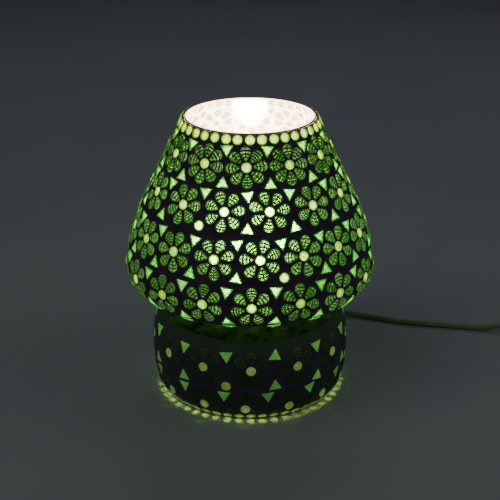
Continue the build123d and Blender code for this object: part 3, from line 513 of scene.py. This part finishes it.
def shade_wall():
    """The shade's bed: the cone's straight wall, then its two arcs."""
    low = polar(UPPER_C, UPPER_R - TILE, CONE)
    cone = (HEIGHT - low[1]) / math.cos(math.radians(CONE))
    arcs, length = arc_line([(UPPER_C, UPPER_R - TILE, CONE, JOIN),
                             (LOWER_C, LOWER_R - TILE, JOIN, SHADE_EDGE)])

    def at(distance):
        if distance > cone:
            return arcs(distance - cone)
        back, lean = cone - distance, math.radians(CONE)
        return (low[0] - back * math.sin(lean), low[1] + back * math.cos(lean), CONE)
    return at, cone + length


def drum_wall():
    top, foot = bulge_angle(TOP_C), bulge_angle(FOOT_C)
    return arc_line([(TOP_C, TOP_R - TILE, DRUM_EDGE, top), (BARREL_C, BARREL_R - TILE, top, foot),
                     (FOOT_C, FOOT_R - TILE, foot, FOOT_EDGE)])


# ------------------------------------------------------------------ reading the tiles' places
def islands(node):
    """Corner coordinates, in mm, of each separate tile in a CAD node: arrays of triangles."""
    mesh = NODES[node].data
    mesh.calc_loop_triangles()
    points = np.empty(len(mesh.vertices) * 3)
    mesh.vertices.foreach_get("co", points)
    points = points.reshape(-1, 3) / MM
    corners = np.empty(len(mesh.loop_triangles) * 3, dtype=np.int64)
    mesh.loop_triangles.foreach_get("vertices", corners)
    _, merged = np.unique(np.round(points, 3), axis=0, return_inverse=True)
    triangles = merged.reshape(-1)[corners].reshape(-1, 3)
    label = np.arange(merged.max() + 1)
    while True:
        least = label[triangles].min(axis=1)
        before = label.copy()
        for k in range(3):
            np.minimum.at(label, triangles[:, k], least)
        label = label[label]
        if (label == before).all():
            break
    owner = label[triangles[:, 0]]
    soup = points[corners].reshape(-1, 3, 3)
    return [soup[owner == which] for which in np.unique(owner)]


def tile_frame(soup, kind):
    """A tile's middle and its axes (x, y, outward normal), from its triangles."""
    cross = np.cross(soup[:, 1] - soup[:, 0], soup[:, 2] - soup[:, 0])
    area = np.linalg.norm(cross, axis=1) + 1e-12
    weight = (cross[:, :, None] * cross[:, None, :] / area[:, None, None]).sum(axis=0)
    normal = np.linalg.eigh(weight)[1][:, -1]
    signed = np.einsum("ij,ij->i", soup[:, 0], np.cross(soup[:, 1], soup[:, 2]))
    centre = (soup.sum(axis=1) / 4 * signed[:, None]).sum(axis=0) / signed.sum()
    core = np.array([0, 0, LOWER_C[1] if centre[2] > 75 else BARREL_C[1]])
    if normal @ (centre - core) < 0:
        normal = -normal
    flat = soup.reshape(-1, 3) - centre
    flat = flat - np.outer(flat @ normal, normal)
    reach = np.linalg.norm(flat, axis=1)
    if kind == "triangle":
        up = flat[reach.argmax()]
    elif kind == "petal":
        up = -flat[reach.argmax()]          # the narrow end is the farthest from the middle
    else:
        up = np.cross(normal, [0.0, 0.0, 1.0])
    up = up / np.linalg.norm(up)
    if kind == "petal":                      # from the middle of the area to between the two ends' centres
        along = flat @ up
        centre = centre + up * ((along.max() - PETAL[1]) + (along.min() + PETAL[0])) / 2
    return Vector(centre), Vector(np.cross(up, normal)), Vector(up), Vector(normal)


def kind_of(node):
    return "disc" if "disc" in node else "triangle" if "triangle" in node else "petal"


TILE_NODES = [n for n in NODES if n.endswith(("discs", "triangles")) or "petals" in n]
FRAMES = {n: [tile_frame(soup, kind_of(n)) for soup in islands(n)] for n in TILE_NODES}


# ------------------------------------------------------------------ mesh building
class Heap:
    """Vertices and faces that are gathered into one mesh, with numbers for each vertex."""

    def __init__(self):
        self.points, self.faces, self.marks, self.slots = [], [], [], []

    def add(self, points, faces, marks=(), first_slot=0):
        """first_slot is the material slot of the first face; the others have slot 0."""
        start = len(self.points)
        self.points.extend(points)
        self.faces.extend([tuple(start + i for i in face) for face in faces])
        self.marks.extend([marks] * len(points))
        self.slots.extend([first_slot] + [0] * (len(faces) - 1))

    def build(self, name, materials, names=(), sharp=35.0):
        mesh = bpy.data.meshes.new(name)
        mesh.from_pydata([tuple(p) for p in self.points], [], self.faces)
        for k, label in enumerate(names):
            layer = mesh.attributes.new(label, "FLOAT", "POINT")
            layer.data.foreach_set("value", [m[k] for m in self.marks])
        mesh.polygons.foreach_set("use_smooth", [True] * len(mesh.polygons))
        mesh.polygons.foreach_set("material_index", self.slots)
        mesh.set_sharp_from_angle(angle=math.radians(sharp))
        for material in materials:
            mesh.materials.append(material)
        obj = bpy.data.objects.new(name, mesh)
        bpy.context.scene.collection.objects.link(obj)
        return obj


def ring_faces(first, second, count):
    """Faces between two rings of points, by the number of each ring's first point."""
    return [(first + k, first + (k + 1) % count, second + (k + 1) % count, second + k)
            for k in range(count)]


DISC_POINTS, PETAL_POINTS = 32, 36


def disc_outline(hand):
    """A slightly lumpy circle, now and then with a chip."""
    lumps = [(hand.uniform(0, TURN), hand.uniform(0.0, 0.05)) for _ in range(3)]
    chip = hand.uniform(0, TURN)
    chipped = hand.random() < 0.3
    outline = []
    for k in range(DISC_POINTS):
        a = TURN * k / DISC_POINTS
        r = DISC_R + sum(size * math.cos((n + 2) * a + phase)
                         for n, (phase, size) in enumerate(lumps))
        if chipped:
            r -= 0.28 * max(0.0, math.cos(a - chip)) ** 12
        outline.append((r * math.cos(a), r * math.sin(a)))
    return outline


def triangle_outline(hand):
    """A triangle with wavy sides and small cuts for corners."""
    corners = []
    for k in range(3):
        a = math.pi / 2 + TURN * k / 3
        r = TRIANGLE_R - 0.15 + hand.uniform(-0.25, 0.12)
        corners.append(Vector((r * math.cos(a), r * math.sin(a))))
    outline = []
    for k in range(3):
        before, here, after = corners[k - 1], corners[k], corners[(k + 1) % 3]
        back, on = (before - here).normalized(), (after - here).normalized()
        cut = 0.75 if hand.random() < 0.2 else 0.3
        outline += [here + back * cut, here + (back + on) * cut * 0.30, here + on * cut]
        for share in (0.3, 0.5, 0.7):
            wave = hand.uniform(-0.05, 0.05)
            outline.append(here.lerp(after, share) + Vector((on.y, -on.x)) * wave)
    return [(p.x, p.y) for p in outline]


def petal_half_width(y, inset=0.0):
    """Half a petal's width at y, which is 0 midway between its ends' centres."""
    small, large, gap = PETAL[0] - inset, PETAL[1] - inset, PETAL[2]
    lean = (large - small) / gap
    if y < -gap / 2 - small * lean:
        return math.sqrt(max(0.0, small ** 2 - (y + gap / 2) ** 2))
    if y > gap / 2 - large * lean:
        return math.sqrt(max(0.0, large ** 2 - (y - gap / 2) ** 2))
    side = math.sqrt(1 - lean ** 2)
    return (small + (y + gap / 2) * lean) / side


def petal_outline(hand):
    """A petal, uneven by a few hundredths."""
    phase, size = hand.uniform(0, TURN), hand.uniform(0.02, 0.09)
    low, high = -PETAL[2] / 2 - PETAL[0], PETAL[2] / 2 + PETAL[1]
    outline = []
    for k in range(PETAL_POINTS):
        a = TURN * k / PETAL_POINTS
        y = (low + high) / 2 - (high - low) / 2 * math.cos(a)
        at_an_end = k % (PETAL_POINTS // 2) == 0
        x = 0.0 if at_an_end else math.copysign(petal_half_width(y), math.sin(a))
        grow = 1 + size / 4 * math.cos(3 * a + phase)
        outline.append((-x * grow, y))
    return outline[::-1]


OUTLINES = {"disc": disc_outline, "triangle": triangle_outline, "petal": petal_outline}


def plate(outline, bevel, crown):
    """A glass tile on its own axes: its back face, then upright sides, a rounded edge and a
    slightly domed face."""
    count = len(outline)
    if sum(x0 * y1 - x1 * y0 for (x0, y0), (x1, y1) in zip(outline, outline[1:] + outline[:1])) < 0:
        outline = outline[::-1]
    mx = sum(x for x, _ in outline) / count
    my = sum(y for _, y in outline) / count
    size = max(math.hypot(x - mx, y - my) for x, y in outline)
    points = []
    for inset, z in ((0.0, -TILE / 2), (0.0, TILE / 2 - bevel), (bevel * 0.3, TILE / 2 - bevel * 0.3),
                     (bevel, TILE / 2), (size * 0.5, TILE / 2 + crown * 0.75)):
        share = 1 - inset / size
        points += [(mx + (x - mx) * share, my + (y - my) * share, z) for x, y in outline]
    faces = [tuple(range(count))[::-1]]
    for ring in range(4):
        faces += ring_faces(ring * count, (ring + 1) * count, count)
    points.append((mx, my, TILE / 2 + crown))
    top = 4 * count
    faces += [(top + k, top + (k + 1) % count, 5 * count) for k in range(count)]
    return points, faces


def stroke(path, width, height):
    """A raised line of outliner paste along points on a tile's face."""
    half = [(0.35, 0.95), (0.82, 0.45), (1.0, -0.35)]
    section = [(-across, up) for across, up in half[::-1]] + half
    points, faces = [], []
    for k, (x, y) in enumerate(path):
        before, after = path[max(k - 1, 0)], path[min(k + 1, len(path) - 1)]
        run = Vector((after[0] - before[0], after[1] - before[1])).normalized()
        end = 0.55 if k in (0, len(path) - 1) else 1.0
        for across, up in section:
            side = across * width / 2 * end
            rise = up * height * (end if up > 0 else 1)
            points.append((x + run.y * side, y - run.x * side, TILE / 2 + rise))
    count = len(section)
    for k in range(len(path) - 1):
        faces += [tuple(reversed(f)) for f in ring_faces(k * count, (k + 1) * count, count)]
    last = (len(path) - 1) * count
    faces.append(tuple(range(count)))
    faces.append(tuple(reversed(range(last, last + count))))
    return points, faces


RIB_CENTRE = -5.9               # the ribs are arcs round this point on the petal's axis
RIB_WIDE, VEIN_WIDE, DOT_WIDE = 1.12, 0.70, 0.55
PASTE_HIGH = 0.26
FIRST_RIB, LAST_RIB = 2.55, 0.25    # from the petal's narrow end and from its wide end


def petal_strokes(hand):
    """The drawing on a petal: a vein, arched ribs and a dot at the narrow end."""
    rows = 4 if hand.random() < 0.25 else 3
    tip, end = -PETAL[2] / 2 - PETAL[0], PETAL[2] / 2 + PETAL[1]
    first = tip + FIRST_RIB
    pitch = (end - LAST_RIB - first) / rows
    bend = hand.uniform(-0.15, 0.15)
    vein = [(bend * math.sin(math.pi * k / 6), first - 0.2 + (end - first - 0.1) * k / 6)
            for k in range(7)]
    lines = [(vein, VEIN_WIDE)]
    for row in range(rows):
        middle = first + pitch * row + hand.uniform(-0.08, 0.08)
        radius = middle - RIB_CENTRE
        tilt = hand.uniform(-0.03, 0.03)
        widest = next(a for a in (step / 100 for step in range(1, 160))
                      if radius * math.sin(a) >= petal_half_width(RIB_CENTRE + radius * math.cos(a)))
        rib = []
        for k in range(9):
            a = widest * (k - 4) / 4 * 0.99
            across = radius * math.sin(a)
            rib.append((across, RIB_CENTRE + radius * math.cos(a) + tilt * across))
        lines.append((rib, RIB_WIDE))
    dot = [(0.0, tip + 1.15 + 0.25 * k) for k in range(2)]
    lines.append((dot, DOT_WIDE))
    return lines


def tilted(frame_axes, hand, slope):
    """A tile's transform in metres, with the small slope and turn that a hand leaves."""
    centre, x, y, n = frame_axes
    turn = Matrix.Rotation(hand.uniform(-0.03, 0.03), 3, "Z")
    lean = (Matrix.Rotation(hand.uniform(-slope, slope), 3, "X")
            @ Matrix.Rotation(hand.uniform(-slope, slope), 3, "Y"))
    axes = Matrix((x, y, n)).transposed() @ lean @ turn
    return centre, axes


SLOPE = 0.018                   # radians, the most that a tile leans


def lay_tiles(name, nodes, material, seed, bevel, crown):
    """One piece for a kind of tile: every tile with its own cut, slope and tint."""
    hand = random.Random(seed)
    kind = kind_of(nodes[0])
    glass, paste = Heap(), Heap()
    for node in nodes:
        for axes in FRAMES[node]:
            centre, turn = tilted(axes, hand, SLOPE)
            points, faces = plate(OUTLINES[kind](hand), bevel * hand.uniform(0.8, 1.2), crown)
            marks = (hand.random(), hand.random(), hand.random())
            glass.add([(centre + turn @ Vector(p)) * MM for p in points], faces, marks, first_slot=1)
            if kind == "petal":
                for path, width in petal_strokes(hand):
                    points, faces = stroke(path, width * hand.uniform(0.88, 1.15), PASTE_HIGH)
                    paste.add([(centre + turn @ Vector(p)) * MM for p in points], faces)
    piece = glass.build(name, (material, BACK), ("tint", "stray", "power"))
    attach(piece, "lamp")
    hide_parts(*nodes)
    if paste.points:
        lines = paste.build(name + "_outliner", (OUTLINER,), sharp=60.0)
        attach(lines, "lamp")


# ------------------------------------------------------------------ the grout between the tiles
def tile_gap(kind, x, y):
    """Distance in mm from points on a tile's plane to its edge; below 0 inside."""
    if kind == "disc":
        return np.hypot(x, y) - DISC_R
    if kind == "triangle":
        facing = [math.radians(t) for t in (-90, 30, 150)]
        sides = [x * math.cos(a) + y * math.sin(a) for a in facing]
        return np.maximum.reduce(sides) - TRIANGLE_R / 2
    small, large, gap = PETAL
    lean = (small - large) / gap
    side = math.sqrt(1 - lean ** 2)
    px, py = np.abs(x), y + gap / 2
    k = -lean * px + side * py
    straight = side * px + lean * py - small
    low = np.hypot(px, py) - small
    high = np.hypot(px, py - gap) - large
    return np.where(k < 0, low, np.where(k > side * gap, high, straight))


FAR = 99.0                      # no tile near
TILE_REACH = 9.5                # a tile ends within this distance of its middle
ACROSS_WALL = 4.0               # and this far from its plane it is on another part of the wall
AXIS_NEAR = 12.0                # the least radius that its reach is turned into an angle at
CREST, DIP, DIP_WIDE = 0.38, 0.42, 1.1      # below the tiles' faces at an edge, more mid-gap, over
GRAIN = 0.16
BED_DEEP = 0.45
TUCK = 0.35                     # how far the grout reaches under a tile's edge


def grout(name, wall, span, rounds, steps, seed, node):
    """The grout of one zone: a bumpy skin that dips between the tiles, open behind each tile."""
    at, length = wall
    first, last = span
    last = length if last is None else last
    rows = [at(first + (last - first) * k / steps) for k in range(steps + 1)]
    turns = np.arange(rounds) * TURN / rounds
    radius = np.array([r for r, _, _ in rows])
    height = np.array([z for _, z, _ in rows])
    angle = np.radians([a for _, _, a in rows])
    bed = np.stack([radius[:, None] * np.sin(turns), -radius[:, None] * np.cos(turns),
                    height[:, None] + 0 * turns], axis=2)
    normal = np.stack([np.cos(angle)[:, None] * np.sin(turns), -np.cos(angle)[:, None] * np.cos(turns),
                       np.sin(angle)[:, None] + 0 * turns], axis=2)
    gap = np.full((steps + 1, rounds), FAR)
    for tile_node, axes in FRAMES.items():
        kind = kind_of(tile_node)
        for centre, x, y, n in axes:
            near = np.abs(height - centre.z) < TILE_REACH
            if not near.any():
                continue
            middle = math.atan2(centre.x, -centre.y)
            across = TILE_REACH / max(math.hypot(centre.x, centre.y), AXIS_NEAR)
            away = (turns - middle + math.pi) % TURN - math.pi
            rows_near = np.nonzero(near)[0]
            columns = np.nonzero(np.abs(away) < across)[0]
            patch = bed[np.ix_(rows_near, columns)] - np.array(centre)
            off = np.abs(patch @ np.array(n))
            edge = tile_gap(kind, patch @ np.array(x), patch @ np.array(y))
            edge = np.where(off < ACROSS_WALL, edge, FAR)
            cell = gap[np.ix_(rows_near, columns)]
            gap[np.ix_(rows_near, columns)] = np.minimum(cell, edge)
    noise = np.random.default_rng(seed)
    rough = noise.normal(0.0, 1.0, gap.shape)
    for _ in range(2):
        beside = (np.roll(rough, 1, 0), np.roll(rough, -1, 0), np.roll(rough, 1, 1), np.roll(rough, -1, 1))
        rough = (rough + beside[0] + beside[1] + beside[2] + beside[3]) / 5
    fall = 1 - np.exp(-np.clip(gap, 0, 6) / DIP_WIDE)
    lift = TILE - CREST - DIP * fall + GRAIN * rough
    outer = (bed + normal * lift[:, :, None]) * MM
    inner = (bed - normal * BED_DEEP) * MM
    onward = np.roll(gap, -1, 1)
    open_cell = np.maximum.reduce([gap[:-1], gap[1:], onward[:-1], onward[1:]]) < -TUCK
    points = np.concatenate([outer.reshape(-1, 3), inner.reshape(-1, 3)])
    under = (steps + 1) * rounds
    faces, slots = [], []

    def spot(i, j):
        return i * rounds + j % rounds

    solid = ~open_cell
    for i in range(steps):
        for j in range(rounds):
            if not solid[i, j]:
                continue
            a, b, c, d = spot(i, j), spot(i, j + 1), spot(i + 1, j + 1), spot(i + 1, j)
            faces += [(d, c, b, a), (a + under, b + under, c + under, d + under)]
            slots += [0, 1]
            if i == 0 or not solid[i - 1, j]:
                faces.append((a, b, b + under, a + under))
                slots.append(0)
            if i == steps - 1 or not solid[i + 1, j]:
                faces.append((c, d, d + under, c + under))
                slots.append(0)
            if not solid[i, (j + 1) % rounds]:
                faces.append((b, c, c + under, b + under))
                slots.append(0)
            if not solid[i, j - 1]:
                faces.append((d, a, a + under, d + under))
                slots.append(0)
    used = np.unique(np.array([k for face in faces for k in face]))
    number = np.full(len(points), -1)
    number[used] = np.arange(len(used))
    mesh = bpy.data.meshes.new(name)
    kept_faces = [tuple(int(number[k]) for k in f) for f in faces]
    mesh.from_pydata([tuple(p) for p in points[used]], [], kept_faces)
    mesh.materials.append(GROUT)
    mesh.materials.append(CREAM)
    mesh.polygons.foreach_set("material_index", slots)
    mesh.polygons.foreach_set("use_smooth", [True] * len(faces))
    mesh.set_sharp_from_angle(angle=math.radians(50))
    piece = bpy.data.objects.new(name, mesh)
    bpy.context.scene.collection.objects.link(piece)
    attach(piece, "lamp")
    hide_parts(node)


# ------------------------------------------------------------------ the cord
CORD_R = 0.0025
CORD_LAY = [(0.0505, 0.08747, 0.015), (0.0585, 0.10133, 0.015), (0.0695, 0.113, 0.0094),
            (0.088, 0.1195, 0.0034), (0.115, 0.110, 0.0025), (0.144, 0.0985, 0.0025),
            (0.178, 0.0932, 0.0025), (0.206, 0.0875, 0.0025), (0.222, 0.084, 0.0046),
            (0.235, 0.083, 0.008), (0.247, 0.083, 0.008)]
SWITCH_LEAD = [(0.266, 0.083, 0.008), (0.287, 0.083, 0.0068), (0.308, 0.083, 0.008)]
LINK_LAY = [(0.327, 0.083, 0.008), (0.338, 0.083, 0.008), (0.352, 0.0775, 0.005),
            (0.365, 0.065, 0.0034), (0.373, 0.047, 0.0034)]
PLUG_LAY = [(0.330, -0.009, 0.0131), (0.321, -0.0087, 0.0122), (0.3105, -0.009, 0.0069),
            (0.299, -0.009, 0.0069), (0.290, -0.009, 0.0069)]
COIL_C = (0.338, 0.024)
# The coil's turns, clockwise from +X: turns so far, radius and height in mm.
COIL_LAY = [(0.0, 38.0, 3.4), (0.75, 38.0, 3.4), (1.0, 32.5, 3.4), (1.75, 32.5, 3.4), (2.0, 27.0, 3.4),
            (2.75, 27.0, 3.4), (3.0, 21.5, 3.4), (3.5, 21.5, 3.4), (3.75, 24.5, 8.3), (4.25, 24.5, 8.3),
            (4.5, 30.0, 8.2), (5.25, 30.0, 8.2), (5.5, 35.5, 8.2), (6.0, 35.5, 8.2), (6.25, 33.0, 13.1),
            (7.2, 33.0, 13.1)]


COIL_TURNS, POINTS_A_TURN = 7.2, 14


def coil_points():
    turns = np.arange(0.0, COIL_TURNS + 0.01, 1 / POINTS_A_TURN)
    radius = np.interp(turns, [t for t, _, _ in COIL_LAY], [r for _, r, _ in COIL_LAY]) * MM
    height = np.interp(turns, [t for t, _, _ in COIL_LAY], [z for _, _, z in COIL_LAY]) * MM
    return [(COIL_C[0] + r * math.cos(TURN * t), COIL_C[1] - r * math.sin(TURN * t), z)
            for t, r, z in zip(turns, radius, height)]


def mains_cord(material):
    points = CORD_LAY + SWITCH_LEAD + LINK_LAY + coil_points() + PLUG_LAY
    curve = bpy.data.curves.new("mains_cord", "CURVE")
    curve.dimensions = "3D"
    curve.bevel_depth = CORD_R
    curve.bevel_resolution = 5
    curve.resolution_u = 6
    line = curve.splines.new("NURBS")
    line.points.add(len(points) - 1)
    for spot, place in zip(line.points, points):
        spot.co = (*place, 1)
    line.order_u = 3
    line.use_endpoint_u = True
    curve.use_fill_caps = True
    curve.materials.append(material)
    piece = bpy.data.objects.new("mains_cord", curve)
    bpy.context.scene.collection.objects.link(piece)
    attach(piece, "lamp")
    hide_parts("lamp_cord", "link_cord", "cord_coil", "plug_cord", "switch_lead")


def table():
    mesh = bpy.data.meshes.new("table_top")
    size = 6.0
    corners = [(-size, -size, 0), (size, -size, 0), (size, size, 0), (-size, size, 0)]
    mesh.from_pydata(corners, [], [(0, 1, 2, 3)])
    mesh.materials.append(table_top())
    obj = bpy.data.objects.new("table_top", mesh)
    bpy.context.scene.collection.objects.link(obj)


def finish_node(material, *nodes):
    """A CAD part keeps its shape and gets a better surface."""
    for node in nodes:
        mesh = NODES[node].data
        for slot in range(len(mesh.materials)):
            mesh.materials[slot] = material
        if not mesh.materials:
            mesh.materials.append(material)


add_camera()
studio()
table()
GROUT = grout_black()
CREAM = adhesive_back()
OUTLINER = outliner_black()
BACK = tile_back()
DISC = tile_glass("disc_glass", (0.32, 0.86, 0.01), (0.48, 0.92, 0.05), (0.42, 0.80, 0.36),
                  (0.045, 0.125, 0.004), 0.90, 0.34, 0.50)
TRIANGLE = tile_glass("triangle_glass", (0.06, 0.84, 0.02), (0.17, 0.90, 0.05), (0.38, 0.85, 0.20),
                      (0.026, 0.19, 0.007), 0.62, 0.32, 0.55)
PETAL_GLASS = tile_glass("petal_glass", (0.16, 0.74, 0.06), (0.32, 0.86, 0.18), (0.46, 0.80, 0.34),
                         (0.0007, 0.0040, 0.0002), 0.42, 0.045, 0.50, far=0.12)

lay_tiles("rim_disc_tiles", ["rim_discs"], DISC, 1, 0.42, 0.06)
lay_tiles("shade_disc_tiles", ["shade_flower_discs", "shade_gap_discs"], DISC, 2, 0.42, 0.06)
lay_tiles("drum_disc_tiles", ["drum_flower_discs", "drum_gap_discs"], DISC, 3, 0.42, 0.06)
lay_tiles("foot_disc_tiles", ["foot_discs"], DISC, 4, 0.42, 0.06)
lay_tiles("shade_triangle_tiles", ["shade_triangles"], TRIANGLE, 5, 0.26, 0.05)
lay_tiles("drum_triangle_tiles", ["drum_triangles"], TRIANGLE, 6, 0.26, 0.05)
for number in (1, 2, 3, 4):
    lay_tiles("shade_petal_tiles_%d" % number, ["shade_petals_row%d" % number], PETAL_GLASS, 10 + number,
              0.36, 0.07)
for number in (5, 6):
    lay_tiles("drum_petal_tiles_%d" % number, ["drum_petals_row%d" % number], PETAL_GLASS, 10 + number,
              0.36, 0.07)
grout("shade_grout", shade_wall(), (0.9, None), 640, 184, 7, "shade_grout_bed")
grout("drum_grout", drum_wall(), (0.0, None), 540, 84, 8, "drum_grout_bed")

finish_node(body_glass(), "glass_body")
finish_node(felt(), "base_pad")
finish_node(bulb_frost(), "bulb_envelope")
finish_node(clear_stem(), "bulb_stem")
finish_node(metal("tungsten", (0.30, 0.29, 0.28), 0.4), "bulb_filament")
finish_node(metal("bulb_metal", (0.72, 0.72, 0.72), 0.28), "bulb_cap")
finish_node(metal("solder", (0.58, 0.57, 0.55), 0.42), "bulb_contact")
finish_node(moulded("black_glass", (0.012, 0.012, 0.014), 0.12, coat=0.5), "bulb_insulator")
finish_node(moulded("porcelain", (0.80, 0.78, 0.72), 0.45, coat=0.2), "holder_insert")
BRASS = metal("brass", (0.78, 0.58, 0.26), 0.26)
finish_node(BRASS, "holder_contact", "holder_shell", "switch_terminals")
STEEL = metal("zinc_steel", (0.62, 0.62, 0.63), 0.30)
finish_node(STEEL, "holder_screws", "entry_nipple", "nipple_nut", "neck_bracket", "rocker_pin",
            "switch_screws")
PHENOLIC = moulded("phenolic", (0.016, 0.016, 0.018), 0.42)
finish_node(PHENOLIC, "holder_skirt", "holder_cap", "lower_shade_ring", "upper_shade_ring")
RUBBER = moulded("rubber", (0.020, 0.020, 0.021), 0.62, grain=1300.0, depth=0.00006)
finish_node(RUBBER, "bracket_tips", "cord_guard", "switch_sleeves")
SHEATH = cord_sheath()
finish_node(SHEATH, "inner_lead")
finish_node(moulded("tie_wrap", (0.018, 0.018, 0.02), 0.4), "cord_tie")
finish_node(moulded("switch_plastic", (0.022, 0.022, 0.024), 0.33, grain=2200.0),
            "switch_base", "switch_cover")
finish_node(moulded("rocker_plastic", (0.03, 0.03, 0.032), 0.2, coat=0.3), "switch_rocker")
finish_node(moulded("plug_plastic", (0.022, 0.022, 0.024), 0.4, grain=2000.0), "plug_body")
finish_node(metal("nickel", (0.70, 0.68, 0.64), 0.16), "plug_pins")
mains_cord(SHEATH)
